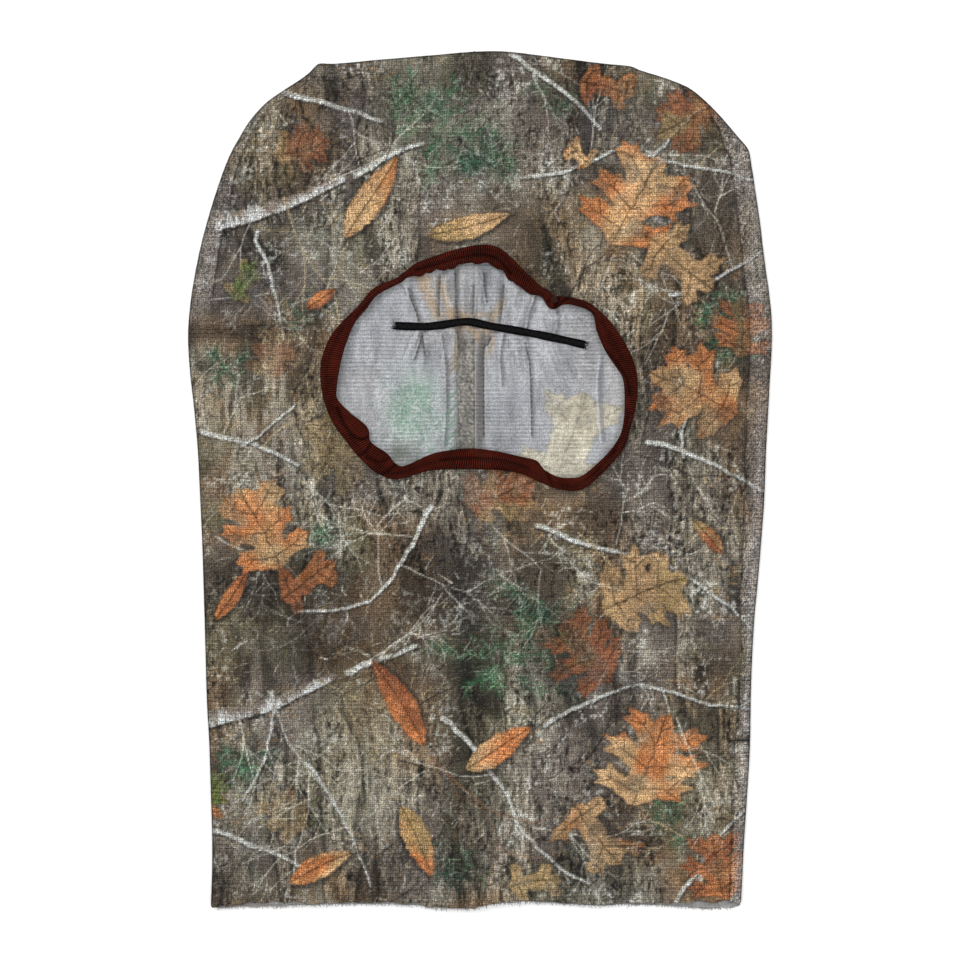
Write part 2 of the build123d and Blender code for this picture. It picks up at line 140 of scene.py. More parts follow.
def noise(x, y, seed):
    """Smooth noise between -1 and 1 over arrays of coordinates."""
    col, row = np.floor(x).astype(np.int64), np.floor(y).astype(np.int64)
    u, v = x - col, y - row
    u = u * u * u * (u * (u * 6 - 15) + 10)
    v = v * v * v * (v * (v * 6 - 15) + 10)

    def corner(a, b):
        n = (a * 374761393 + b * 668265263 + seed * 1442695041) & 0x7FFFFFFF
        n = (n ^ (n >> 13)) * 1274126177 & 0x7FFFFFFF
        n = (n ^ (n >> 16)) & 0xFFFFFF
        return n / float(0xFFFFFF) * 2 - 1

    low = corner(col, row) * (1 - u) + corner(col + 1, row) * u
    high = corner(col, row + 1) * (1 - u) + corner(col + 1, row + 1) * u
    return low * (1 - v) + high * v


def clouds(x, y, wide, tall, octaves, seed, gain=0.5):
    """Layered noise; wide and tall are its largest grain in mm."""
    total, amp, norm = 0.0, 1.0, 0.0
    for k in range(octaves):
        total = total + amp * noise(
            x / wide * 2**k + 17.3 * k, y / tall * 2**k - 9.1 * k, seed + 31 * k
        )
        norm += amp
        amp *= gain
    return total / norm


# -------------------------------------------------------------------- curves
def heading(angle):
    return np.array([math.cos(angle), math.sin(angle)])


def lengths(line):
    """Distance travelled along a line at each of its points."""
    steps = np.linalg.norm(np.diff(line, axis=0), axis=1)
    return np.concatenate([[0], np.cumsum(steps)])


def at_length(line, travelled, at):
    """Places along a line at the given travelled distances."""
    return np.stack([np.interp(at, travelled, column) for column in line.T], -1)


def tangents(line):
    t = np.gradient(line, axis=0)
    return t / np.maximum(np.linalg.norm(t, axis=1, keepdims=True), 1e-9)


def left_of(tangent):
    return np.stack([-tangent[:, 1], tangent[:, 0]], 1)


def inset(line, distance):
    """The line moved to the right of its travel: inwards for the side seam."""
    return line - left_of(tangents(line)) * distance


def smooth(points, spacing, closed=False):
    """A Catmull-Rom curve through (x, y) points, resampled evenly."""
    p = np.array(points, float)
    if closed:
        knots = [np.roll(p, k, 0) for k in (1, 0, -1, -2)]
    else:
        ext = np.vstack([2 * p[0] - p[1], p, 2 * p[-1] - p[-2]])
        knots = [ext[:-3], ext[1:-2], ext[2:-1], ext[3:]]
    a, b, c, d = (q[:, None, :] for q in knots)
    t = np.linspace(0, 1, 24, endpoint=False)[None, :, None]
    curve = 0.5 * (
        2 * b + (c - a) * t + (2 * a - 5 * b + 4 * c - d) * t**2
        + (3 * b - a - 3 * c + d) * t**3
    )
    curve = curve.reshape(-1, 2)
    curve = np.vstack([curve, curve[:1] if closed else p[-1:]])
    travelled = lengths(curve)
    count = max(int(round(travelled[-1] / spacing)), 3)
    even = at_length(curve, travelled, np.linspace(0, travelled[-1], count + 1))
    return even[:-1] if closed else even


def opening_radius(points, angles):
    """Distance from the opening's middle to a closed curve in each direction."""
    p = smooth(points, 0.25, True) - np.array((OPEN_X, OPEN_Y))
    a = np.unwrap(np.arctan2(p[:, 1], p[:, 0]))
    if a[-1] < a[0]:
        p, a = p[::-1], a[::-1]
    a = np.maximum.accumulate(a)
    a = np.concatenate([a - TURN, a, a + TURN])
    return np.interp(angles, a, np.tile(np.hypot(p[:, 0], p[:, 1]), 3))


def around_opening(radius, angles):
    return np.stack([OPEN_X + radius * np.cos(angles), OPEN_Y + radius * np.sin(angles)], 1)


def nearest(points, line, closed=False):
    """Distance from each point to a polyline, and the nearest place on it."""
    pts = np.asarray(points, float)
    a, b = (line, np.roll(line, -1, 0)) if closed else (line[:-1], line[1:])
    d = b - a
    dd = np.maximum((d**2).sum(1), 1e-12)
    best = np.zeros(len(pts))
    where = np.zeros((len(pts), 2))
    block = 4000  # points at a time, to bound memory
    for i in range(0, len(pts), block):
        q = pts[i:i + block, None, :]
        t = np.clip(((q - a[None]) * d[None]).sum(2) / dd[None], 0, 1)
        near = a[None] + t[..., None] * d[None]
        dist = ((q - near) ** 2).sum(2)
        k = dist.argmin(1)
        rows = np.arange(len(k))
        best[i:i + block] = dist[rows, k]
        where[i:i + block] = near[rows, k]
    return np.sqrt(best), where


def inside(xs, ys, loop):
    """Grid of booleans, rows by y: places inside a closed loop."""
    out = np.zeros((len(ys), len(xs)), bool)
    a, b = loop, np.roll(loop, -1, 0)
    for j, y in enumerate(ys):
        hit = (a[:, 1] > y) != (b[:, 1] > y)
        p, q = a[hit], b[hit]
        x = np.sort(p[:, 0] + (y - p[:, 1]) / (q[:, 1] - p[:, 1]) * (q[:, 0] - p[:, 0]))
        for x0, x1 in zip(x[::2], x[1::2]):
            out[j] |= (xs > x0) & (xs < x1)
    return out


def hood_loop(neck):
    """Closed outline of a panel, with its neck edge slightly ragged."""
    line = smooth(SIDE, 1.0)
    edge = smooth(neck, 0.7)
    x, y = edge[:, 0], edge[:, 1]
    ragged = 0.30 * noise(x / 1.4, y, 61) + 0.35 * noise(x / 4.6, y * 0, 62)
    edge[:, 1] += ramp(0.0, 3.0, 140.0 - np.abs(x)) * ragged
    low, high = edge[-1], edge[0]
    keep = line[line[:, 1] > np.where(line[:, 0] < 0, low[1], high[1]) + 0.5]
    return np.vstack([keep, edge])


SIDE_LINE = smooth(SIDE, 2.0)
# the cut hole runs midway across the binding
_angles = np.linspace(0, TURN, 720, endpoint=False)
HOLE = around_opening(
    opening_radius(BIND_OUT, _angles) * 0.5 + opening_radius(BIND_IN, _angles) * 0.5, _angles
)


# ------------------------------------------------------------------- painting
# The print and the pale lining are painted on fine grids of colour and then
# handed to the cloth meshes as point colours.
def rgb(r, g, b):
    return np.array([r, g, b], float) / 255


def mixed(base, colour, amount):
    a = amount[..., None]
    return base * (1 - a) + colour * a


def lit(base, amount):
    """Colour brightened by a share, or darkened by a negative one."""
    return base * (1 + amount[..., None])


def bilinear(grid, u, v):
    """Smooth reading of a grid at fractional columns u and rows v."""
    u = np.clip(u, 0, grid.shape[1] - 1.001)
    v = np.clip(v, 0, grid.shape[0] - 1.001)
    i, j = u.astype(int), v.astype(int)
    fu, fv = u - i, v - j
    if grid.ndim == 3:
        fu, fv = fu[:, None], fv[:, None]
    return (
        grid[j, i] * (1 - fu) * (1 - fv) + grid[j, i + 1] * fu * (1 - fv)
        + grid[j + 1, i] * (1 - fu) * fv + grid[j + 1, i + 1] * fu * fv
    )


def to_segment(x, y, a, b):
    """Share along a segment of the nearest place, and the distance to it."""
    d = b - a
    t = np.clip(((x - a[0]) * d[0] + (y - a[1]) * d[1]) / max(d @ d, 1e-9), 0, 1)
    return t, np.hypot(x - a[0] - t * d[0], y - a[1] - t * d[1])


class Canvas:
    """A grid of colours over a rectangle; cell is the grid pitch in mm."""

    def __init__(self, x0, y0, x1, y1, cell):
        self.x0, self.y0, self.cell = x0, y0, cell
        self.nx, self.ny = int((x1 - x0) / cell), int((y1 - y0) / cell)
        self.x, self.y = np.meshgrid(
            x0 + (np.arange(self.nx) + 0.5) * cell, y0 + (np.arange(self.ny) + 0.5) * cell
        )
        self.colour = np.zeros((self.ny, self.nx, 3))

    def window(self, x0, y0, x1, y1):
        """The part of the grid covering a box; empty if the box is outside."""
        i0 = max(int((x0 - self.x0) / self.cell) - 1, 0)
        j0 = max(int((y0 - self.y0) / self.cell) - 1, 0)
        i1 = min(int((x1 - self.x0) / self.cell) + 2, self.nx)
        j1 = min(int((y1 - self.y0) / self.cell) + 2, self.ny)
        return slice(j0, max(j1, j0)), slice(i0, max(i1, i0))

    def mix(self, win, amount, colour):
        self.colour[win] = mixed(self.colour[win], colour, amount)

    def line(self, points, start_w, end_w, colour, strength, soft=0.35, rough=0.0, seed=0):
        """A tapering line; the widths are half widths, soft blurs the edge."""
        p = np.asarray(points, float)
        travelled = lengths(p)
        widths = start_w + (end_w - start_w) * travelled / max(travelled[-1], 1e-6)
        for a, b, wa, wb in zip(p[:-1], p[1:], widths[:-1], widths[1:]):
            m = max(wa, wb) * (1 + rough) + soft + self.cell
            win = self.window(min(a[0], b[0]) - m, min(a[1], b[1]) - m,
                              max(a[0], b[0]) + m, max(a[1], b[1]) + m)
            x, y = self.x[win], self.y[win]
            t, dist = to_segment(x, y, a, b)
            w = wa + (wb - wa) * t
            if rough:
                w = w * (1 + rough * noise(x / 1.3, y / 1.3, seed + 5))
            self.mix(win, np.clip((w + soft / 2 - dist) / soft, 0, 1) * strength, colour)

    def at(self, x, y):
        return bilinear(self.colour, (x - self.x0) / self.cell - 0.5,
                        (y - self.y0) / self.cell - 0.5)


def bowed(a, b, sag, wobble=0.0, seed=None):
    """14 points from a to b bowed sideways by sag, with a random wobble."""
    a, b = np.array(a, float), np.array(b, float)
    t = np.linspace(0, 1, 14)
    d = b - a
    normal = np.array([-d[1], d[0]]) / np.hypot(*d)
    off = sag * 4 * t * (1 - t)
    if wobble:
        w = np.cumsum(np.random.default_rng(seed).normal(0, wobble, 14))
        off = off + (w - w[-1] * t) * (t > 0)
    return a + d * t[:, None] + normal * off[:, None]


def leaf_parts(seed, lobes, length, width, full):
    """Tapering parts of a broad leaf, midrib first: (start, end, radii)."""
    rng = np.random.default_rng(seed)
    rib_radii = np.array([0.04, 0.13, 0.17, 0.17, 0.13, 0.08]) * length * 0.92 * full
    lobe_radii = np.array([0.13, 0.115, 0.10, 0.085, 0.045, 0.0])
    tooth_radii = np.array([0.075, 0.070, 0.056, 0.040, 0.020, 0.0])
    parts = [(np.array([-0.36 * length, 0.0]), np.array([0.40 * length, 0.0]), rib_radii)]

    def lobe(base, angle, reach, fat):
        d = heading(angle)
        parts.append((base, base + d * reach, lobe_radii * length * fat * full))
        for side in (1, -1):
            at = base + d * reach * rng.uniform(0.46, 0.60)
            turned = angle + side * rng.uniform(0.60, 0.95)
            end = at + reach * rng.uniform(0.30, 0.44) * heading(turned)
            parts.append((at, end, tooth_radii * length * fat * full))

    for side in (1, -1):
        for k in range(lobes):
            share = k / max(lobes - 1, 1)
            base = np.array([(-0.27 + 0.45 * share + rng.uniform(-0.02, 0.02)) * length, 0.0])
            bulge = 0.74 + 0.36 * math.sin(math.pi * (0.2 + 0.6 * share))
            reach = width * 0.53 * bulge * rng.uniform(0.88, 1.1)
            angle = side * math.radians(rng.uniform(70, 84) - 20 * share)
            lobe(base, angle, reach, rng.uniform(0.85, 1.1))
    lobe(np.array([0.16 * length, 0.0]), rng.uniform(-0.1, 0.1), 0.36 * length, 1.0)
    return parts


def parts_depth(x, y, parts, soften):
    """Signed depth inside the soft union of tapering parts."""
    total = np.zeros(x.shape)
    for a, b, radii in parts:
        t, dist = to_segment(x, y, a, b)
        depth = np.interp(t, np.linspace(0, 1, len(radii)), radii) - dist
        total = total + np.exp(np.clip(depth / soften, -40, 40))
    return soften * np.log(total + 1e-18)


def leaf_frame(canvas, cx, cy, angle, reach):
    """Window round a leaf, with u along it and v across it."""
    win = canvas.window(cx - reach, cy - reach, cx + reach, cy + reach)
    c, s = heading(math.radians(angle))
    x, y = canvas.x[win] - cx, canvas.y[win] - cy
    return win, x * c + y * s, -x * s + y * c


def slender_leaf(cx, cy, length, width, angle, hot, cool, seed):
    """A narrow pointed leaf with a dark midrib and close side veins."""
    win, u, v = leaf_frame(paint, cx, cy, angle, length / 2 + 2)
    v = v - 0.045 * length * np.sin(u / length * 2.4 + seed)
    t = np.clip(u / length + 0.5, 0, 1)
    half = width / 2 * np.sin(math.pi * t ** 0.85) ** 0.85
    half = half * (1 + 0.10 * noise(u / 1.6, np.sign(v) * 3 + seed, seed))
    depth = half - np.abs(v)
    cover = ramp(-0.1, 0.45, depth)
    cloud = 0.6 * clouds(u, v, length / 2.5, length / 4, 2, seed + 2)
    col = mixed(hot, cool, ramp(-0.35, 0.35, cloud + 0.14 * np.sign(v) - 0.9 * u / length))
    vein_pitch = 2.5
    vein = (u - np.abs(v) * 1.1 + 0.5 * noise(u / 3, v / 3, seed)) / vein_pitch
    vein = np.abs(vein % 1.0 - 0.5) * 2
    col = lit(col, -0.22 * (1 - ramp(0.0, 0.45, vein)))
    col = lit(col, 0.22 * clouds(u, v, 1.4, 1.4, 2, seed + 4))
    col = lit(col, 0.16 * clouds(u, v, 7, 5, 2, seed + 6))
    col = lit(col, -0.55 * np.clip(1 - np.abs(v) / 0.5, 0, 1))   # midrib
    col = lit(col, -0.22 * (1 - ramp(0.0, 1.3, depth)))          # rim
    shadow = ramp(-1.8, 0.4, half - np.abs(v + 1.3)) * (1 - cover)
    paint.mix(win, 0.48 * shadow, rgb(36, 31, 30))
    paint.mix(win, cover * 0.92, np.clip(col, 0, 1))


def lobed_leaf(canvas, cx, cy, length, width, angle, hot, cool, lobes, strength, seed,
               shadow=0.40, full=1.0, vein=0.55):
    """A broad leaf with pointed, toothed lobes and a vein to each tip."""
    win, u, v = leaf_frame(canvas, cx, cy, angle, max(length, width) * 0.66 + 2)
    parts = leaf_parts(seed, lobes, length, width, full)
    u = u + 0.8 * noise(u / 5, v / 5, seed + 6)
    v = (v + 0.8 * noise(u / 5 + 7, v / 5, seed + 7)
         - 0.05 * length * np.sin(u / length * 2.6 + seed))
    depth = (parts_depth(u, v, parts, 0.016 * length)
             + 0.30 * noise(u / 0.9, v / 0.9, seed + 8)
             + 0.55 * noise(u / 2.6, v / 2.6, seed + 28))
    past_stalk = np.maximum(np.abs(u + 0.42 * length) - 0.09 * length, 0)
    depth = np.maximum(depth, 0.45 - np.abs(v) - 3.0 * past_stalk)
    cover = ramp(-0.15, 0.35, depth)
    veins = np.abs(v)
    for start, end, _ in parts[1:]:
        t, dist = to_segment(u, v, start, end)
        veins = np.minimum(veins, dist + 0.22 * t)
    cloud = clouds(u, v, length / 3, length / 3, 2, seed + 2)
    col = mixed(hot, cool, ramp(-0.3, 0.4, cloud + 0.5 * u / length))
    col = lit(col, 0.16 * clouds(u, v, 2.0, 2.0, 3, seed + 4))
    col = lit(col, 0.15 * clouds(u, v, 9, 9, 2, seed + 5))
    net = 1 - np.abs(clouds(u, v, 3.2, 3.2, 2, seed + 12)) * 3
    col = lit(col, -0.20 * ramp(0.75, 1.0, net))
    col = lit(col, -vein * np.clip(1 - veins / 0.62, 0, 1))
    col = lit(col, -0.20 * (1 - ramp(0.0, 1.1, depth)))
    dim = np.clip(ramp(-2.6, 0.2, depth) * (1 - cover), 0, 1)
    dim = dim * ramp(-0.5, 0.3, noise(u / 6, v / 6, seed + 11))
    canvas.mix(win, shadow * dim, rgb(38, 32, 30))
    if shadow > 0.2:  # parts of the leaf sink into the print behind it
        cover = cover * (1 - 0.45 * ramp(0.1, 0.5, clouds(u, v, 12, 9, 2, seed + 15)))
    canvas.mix(win, cover * strength, np.clip(col, 0, 1))


def needles(cx, cy, r, count, seed, green, strength):
    """A spray of conifer needles round seven short twigs."""
    rng = np.random.default_rng(seed)
    win = paint.window(cx - 1.6 * r, cy - 1.6 * r, cx + 1.6 * r, cy + 1.6 * r)
    x, y = paint.x[win] - cx, paint.y[win] - cy
    under = bell(np.hypot(x, y), 0.95 * r) * (0.6 + 0.5 * clouds(x, y, 5, 6, 2, seed + 31))
    paint.mix(win, np.clip(0.42 * under, 0, 1) * strength, rgb(42, 44, 40))
    twigs = 7
    for _ in range(twigs):
        angle = rng.uniform(0, TURN)
        base = np.array([cx, cy]) + rng.normal(0, r * 0.25, 2)
        tip = base + r * rng.uniform(0.5, 1.0) * heading(angle)
        paint.line([base, tip], 0.34, 0.2, rgb(48, 40, 32), 0.7)
        for i in range(count // twigs):
            t = rng.uniform(0, 1)
            p = base + (tip - base) * t
            turned = angle + (1 if i % 2 else -1) * math.radians(rng.uniform(18, 66))
            q = p + rng.uniform(4, 10) * (1 - 0.35 * t) * heading(turned)
            bright = rng.uniform(0.5, 1.5)
            mid = (p + q) / 2 + rng.normal(0, 0.4, 2)
            pale_tip = rng.uniform() <= 0.14
            col = rgb(178, 184, 168) if pale_tip else np.clip(green * bright, 0, 1)
            paint.line([p, mid, q], 0.26, 0.12, col, strength * rng.uniform(0.6, 1), soft=0.4)


def birch(p, start_w, end_w, seed):
    """A pale branch; thick ones are brown above with broken white bark."""
    rng = np.random.default_rng(seed)
    travelled = lengths(p)
    total = travelled[-1]
    thick = start_w > 2.4
    strength = 0.9

    def place(at):
        """Point, direction, upward normal and half width at a distance."""
        d = at_length(p, travelled, at + 0.8) - at_length(p, travelled, at - 0.8)
        d = d / max(np.hypot(*d), 1e-6)
        up = np.array([-d[1], d[0]])
        up = up if up[1] > 0 else -up
        return at_length(p, travelled, at), d, up, start_w + (end_w - start_w) * at / total

    paint.line(p + np.array([0.3, -0.9]), start_w * 1.1, end_w * 1.1, rgb(34, 30, 28), 0.55,
               soft=1.2, rough=0.3, seed=seed + 1)
    body = rgb(122, 110, 98) if thick else rgb(172, 170, 158)
    paint.line(p, start_w, end_w, body, 0.80 * strength, soft=0.5, rough=0.28, seed=seed)
    # white bark strokes, leaving gaps
    for _ in range(int(total / (0.24 if thick else 0.40))):
        at = rng.uniform(0, total)
        gap = noise(np.array([at / 4.5]), np.array([0.3]), seed + 9)[0]
        if gap < rng.uniform(-0.9, -0.1):
            continue
        q, d, up, w = place(at)
        low = -w * rng.uniform(0.75, 1.05)
        if thick:
            rise = rng.uniform(0.3, 1.3) + 2.0 * max(gap, 0) * rng.uniform(0.3, 1)
        else:
            rise = rng.uniform(0.5, 1.9)
        col = np.clip(rgb(206, 208, 206) * rng.uniform(0.78, 1.12), 0, 1)
        lean = d * rng.normal(0, 0.25 * w)
        paint.line([q + up * low, q + up * (low + w * rise) + lean], rng.uniform(0.16, 0.36),
                   0.12, col, rng.uniform(0.45, 0.95) * strength, soft=0.4)
    # dark nicks across the bark
    for _ in range(int(total / 1.6)):
        q, d, up, w = place(rng.uniform(0, total))
        low, high = sorted(rng.uniform(-1, 1, 2))
        paint.line([q + up * w * low, q + up * w * high + d * 0.4], 0.17, 0.12,
                   rgb(74, 68, 62), rng.uniform(0.35, 0.85) * strength, soft=0.4)


def twig_tree(canvas, start, angle, length, width, depth, seed, colour, strength):
    """Fine forking twigs."""
    rng = np.random.default_rng(seed)
    pieces = 6

    def grow(start, angle, length, width, level):
        pts = [np.array(start, float)]
        for _ in range(pieces):
            angle += rng.normal(0, 0.15)
            pts.append(pts[-1] + length / pieces * heading(angle))
        shade = np.clip(colour * rng.uniform(0.84, 1.12), 0, 1)
        canvas.line(pts, width, width * 0.6, shade, strength, soft=0.4)
        if level <= 0:
            return
        for k in range(3 if level > 1 else 2):
            at = rng.integers(2, pieces + 1)
            side = 1 if k % 2 else -1
            grow(pts[at], angle + side * rng.uniform(0.35, 0.95),
                 length * rng.uniform(0.5, 0.78), width * 0.7, level - 1)

    grow(start, math.radians(angle), length, width, depth)


# -------------------------------------------------------- the printed pattern
paint = Canvas(-162.0, -234.0, 162.0, 234.0, cell=0.38)

ORANGE, RUST, TAN = rgb(178, 110, 64), rgb(134, 80, 52), rgb(184, 146, 102)
OCHRE, GREEN, DEEP = rgb(152, 124, 82), rgb(52, 96, 66), rgb(34, 66, 48)
TWIG, DARK_TWIG, GOLD = rgb(174, 170, 158), rgb(46, 39, 36), rgb(156, 138, 104)

# Shadows on the ground: centre x, y, half width, half height, strength.
SHADOWS = [
    (-6, -120, 15, 110, 0.36), (-124, 78, 32, 5, 0.42), (-96, -58, 30, 24, 0.3),
    (-70, -90, 26, 12, 0.25), (-10, 208, 50, 14, 0.14), (-66, 196, 40, 14, 0.2),
    (-38, -60, 16, 60, 0.22), (64, 196, 34, 40, 0.18), (-120, 130, 26, 44, 0.20),
    (28, 120, 24, 30, 0.16), (108, 40, 22, 60, 0.18), (-88, -70, 34, 34, 0.26),
    (60, -205, 26, 30, 0.20), (-120, -200, 34, 34, 0.22),
]
# Pale patches: as above, then colour.
PALE_PATCHES = [
    (-58, -150, 20, 46, 0.50, rgb(140, 134, 116)), (-116, 44, 28, 34, 0.60, rgb(156, 150, 138)),
    (-36, 178, 18, 20, 0.25, rgb(138, 132, 116)), (22, 96, 18, 14, 0.3, rgb(150, 132, 108)),
    (-126, -110, 16, 40, 0.3, rgb(134, 124, 104)), (96, -150, 24, 30, 0.25, rgb(122, 112, 92)),
]
# Needle sprays: x, y, radius, needle count.
SPRAYS = [
    (-18, 182, 28, 320), (4, 168, 20, 200), (-40, 196, 20, 160), (26, -70, 26, 300),
    (6, -92, 24, 260), (44, -94, 18, 150), (128, 96, 16, 150), (134, 72, 14, 110),
    (-128, -148, 16, 140), (-136, 60, 14, 110), (40, 204, 14, 60), (-96, 90, 12, 60),
    (102, -178, 16, 100), (-12, -206, 16, 90), (-84, -30, 12, 70),
]
# Pale branches: start, end, sag, wobble, half widths at start and end.
BRANCHES = [
    ((-142, 136), (-72, 160), -3, 0.3, 4.3, 1.8), ((-66, 161), (-30, 178), 2, 0.4, 1.5, 0.8),
    ((-150, -128), (-78, -104), -3, 0.3, 4.4, 1.9), ((-70, -102), (-34, -88), 1, 0.4, 1.6, 0.8),
    ((-104, 206), (-52, 190), 1, 0.3, 1.5, 0.8), ((16, 226), (64, 186), 2, 0.4, 1.2, 0.7),
    ((22, 160), (74, 176), -3, 0.5, 0.9, 0.6), ((74, 176), (150, 158), 4, 0.7, 0.8, 0.5),
    ((92, 172), (128, 206), 2, 0.5, 0.8, 0.5), ((100, 98), (150, 122), -3, 0.5, 0.9, 0.5),
    ((88, 20), (150, -6), 3, 0.6, 1.1, 0.6), ((108, 12), (118, 52), 3, 0.5, 0.6, 0.35),
    ((-148, 26), (-96, 8), 2, 0.5, 1.2, 0.6), ((-126, 18), (-98, 40), 1, 0.4, 0.6, 0.4),
    ((-26, -14), (-58, -64), 4, 0.6, 1.3, 0.6), ((-58, -64), (-98, -70), 1, 0.3, 0.8, 0.5),
    ((30, -24), (92, -40), -3, 0.5, 1.2, 0.7), ((92, -40), (148, -84), 4, 0.6, 0.8, 0.4),
    ((34, -130), (84, -108), 2, 0.5, 1.1, 0.6), ((84, -108), (146, -122), -3, 0.7, 0.8, 0.5),
    ((-20, -126), (18, -176), 3, 0.5, 1.3, 0.7), ((18, -176), (58, -214), -3, 0.5, 0.9, 0.5),
    ((-142, -186), (-92, -206), 2, 0.5, 1.2, 0.7), ((-92, -150), (-58, -216), 4, 0.6, 0.8, 0.4),
    ((104, -224), (140, -176), 3, 0.5, 1.1, 0.6), ((-118, 132), (-104, 74), 3, 0.6, 0.9, 0.45),
    ((-110, -112), (-126, -170), 3, 0.6, 0.8, 0.4),
]
# Forked twigs: x, y, angle in degrees, length, half width, levels of forks.
TWIGS = [
    (-104, 150, -72, 58, 0.60, 3), (-92, 132, -36, 44, 0.36, 3), (-120, 142, -100, 40, 0.32, 3),
    (-80, 158, 20, 38, 0.34, 3), (-112, -112, -64, 58, 0.58, 3), (-86, -106, -30, 42, 0.36, 3),
    (-128, -124, -80, 38, 0.34, 3), (-60, -98, 50, 34, 0.32, 3), (-124, 18, 150, 40, 0.36, 3),
    (-104, 10, -40, 40, 0.36, 3), (-116, 16, 60, 32, 0.34, 3), (-44, -44, -20, 40, 0.34, 3),
    (-36, -30, 190, 44, 0.36, 3), (-52, -56, 120, 32, 0.34, 3), (4, -20, -60, 40, 0.34, 3),
    (52, -28, -40, 42, 0.34, 3), (72, -34, 70, 34, 0.34, 3), (104, -46, 200, 38, 0.34, 3),
    (58, 172, 70, 38, 0.34, 3), (88, 174, -30, 40, 0.34, 3), (116, 166, 60, 34, 0.32, 2),
    (120, 106, 200, 40, 0.34, 3), (134, 112, 100, 32, 0.34, 3), (60, -118, 80, 40, 0.34, 3),
    (96, -110, -60, 42, 0.34, 3), (120, -116, 50, 34, 0.32, 3), (4, -156, 200, 44, 0.34, 3),
    (28, -184, -20, 38, 0.32, 3), (-112, -196, 70, 40, 0.34, 3), (-72, -184, 200, 38, 0.32, 3),
    (124, -196, 140, 38, 0.34, 3), (28, 216, -70, 36, 0.3, 3), (-70, 196, -60, 36, 0.3, 3),
    (-142, 96, 10, 36, 0.3, 3), (110, 8, -80, 40, 0.3, 3), (136, -8, -110, 36, 0.3, 3),
    (80, 120, -40, 38, 0.3, 3), (-20, -60, -110, 40, 0.3, 3), (-140, -30, -30, 38, 0.3, 3),
]
# Quiet blurred bark: centre x, y, half width, half height, strength, colour.
BARK = [
    (-78, 192, 26, 10, 0.50, rgb(98, 92, 88)), (-88, 126, 16, 22, 0.42, rgb(112, 108, 100)),
    (-66, 112, 12, 20, 0.40, rgb(134, 130, 116)), (-118, 96, 24, 12, 0.42, rgb(92, 88, 92)),
    (26, 150, 20, 10, 0.40, rgb(96, 90, 84)), (-22, 190, 16, 14, 0.34, rgb(132, 128, 112)),
    (60, 190, 22, 12, 0.38, rgb(96, 92, 92)), (-74, -80, 24, 12, 0.42, rgb(94, 88, 86)),
    (-64, -160, 14, 26, 0.42, rgb(140, 136, 124)), (-96, -132, 18, 14, 0.36, rgb(104, 98, 92)),
    (60, -100, 26, 12, 0.40, rgb(98, 92, 90)), (20, -150, 18, 8, 0.40, rgb(86, 80, 74)),
    (-78, 56, 12, 26, 0.30, rgb(112, 106, 96)), (-140, 10, 8, 40, 0.25, rgb(134, 126, 116)),
    (102, 134, 20, 12, 0.34, rgb(106, 102, 94)), (-60, 38, 10, 26, 0.3, rgb(96, 90, 82)),
    (8, -60, 10, 26, 0.3, rgb(70, 64, 58)), (-122, -196, 22, 12, 0.34, rgb(98, 92, 88)),
]
# Narrow leaves: x, y, length, width, angle, base colour, tip colour.
NARROW_LEAVES = [
    (-58, 150, 52, 16, 62, ORANGE * 0.9, TAN * 0.96), (-6, 136, 46, 13, 16, TAN, OCHRE),
    (-44, -118, 54, 15, 118, RUST, ORANGE), (10, -142, 42, 15, 28, ORANGE, TAN * 0.94),
    (-84, -206, 38, 13, 24, TAN, ORANGE), (-34, -192, 42, 15, -64, ORANGE, OCHRE),
    (-84, 96, 20, 8, 40, RUST, ORANGE), (-132, -60, 34, 9, 60, RUST, ORANGE),
    (120, -30, 26, 9, 130, OCHRE, RUST), (-128, 198, 30, 10, 40, RUST, OCHRE),
]
# Broad leaves: as above, then lobes to a side and strength.
BROAD_LEAVES = [
    (82, 146, 58, 56, 66, ORANGE, TAN, 3, 0.88),
    (106, 116, 46, 40, -36, TAN * 0.88, TAN * 0.8, 2, 0.86),
    (114, 44, 54, 48, 152, TAN * 0.86, ORANGE * 0.92, 3, 0.86),
    (112, 192, 42, 34, 204, OCHRE * 0.86, RUST, 3, 0.74),
    (66, 208, 34, 26, -20, RUST, ORANGE * 0.9, 2, 0.74),
    (86, -62, 52, 44, 24, TAN * 0.86, OCHRE, 3, 0.82),
    (58, -92, 46, 42, 136, RUST, RUST * 0.92, 3, 0.74),
    (88, -150, 56, 54, 74, TAN, ORANGE, 3, 0.88),
    (62, -186, 44, 40, -52, TAN * 0.88, ORANGE * 0.92, 2, 0.86),
    (-116, -28, 54, 44, 112, ORANGE, TAN * 0.9, 3, 0.86),
    (-92, -54, 38, 26, 30, RUST, ORANGE * 0.8, 2, 0.8),
    (128, -206, 40, 36, 100, ORANGE * 0.9, RUST, 3, 0.84),
    (28, -214, 30, 24, 12, OCHRE, TAN * 0.9, 2, 0.78),
    (-78, 16, 46, 38, -34, OCHRE * 0.9, rgb(112, 94, 66), 3, 0.42),
    (8, -6, 44, 32, 18, RUST, OCHRE, 3, 0.6), (138, 80, 36, 34, 84, ORANGE, RUST, 3, 0.84),
    (-126, 104, 26, 20, 50, rgb(78, 96, 44), OCHRE, 2, 0.7),
    (-142, -168, 28, 22, 60, ORANGE, rgb(94, 110, 50), 3, 0.8),
    (54, 172, 18, 16, 140, TAN, ORANGE * 0.9, 2, 0.85),
    (-104, -176, 36, 28, 150, RUST, OCHRE, 3, 0.4), (-112, 66, 32, 26, 80, RUST, OCHRE, 3, 0.34),
    (-96, 176, 34, 28, 10, TAN * 0.85, RUST, 3, 0.62),
]


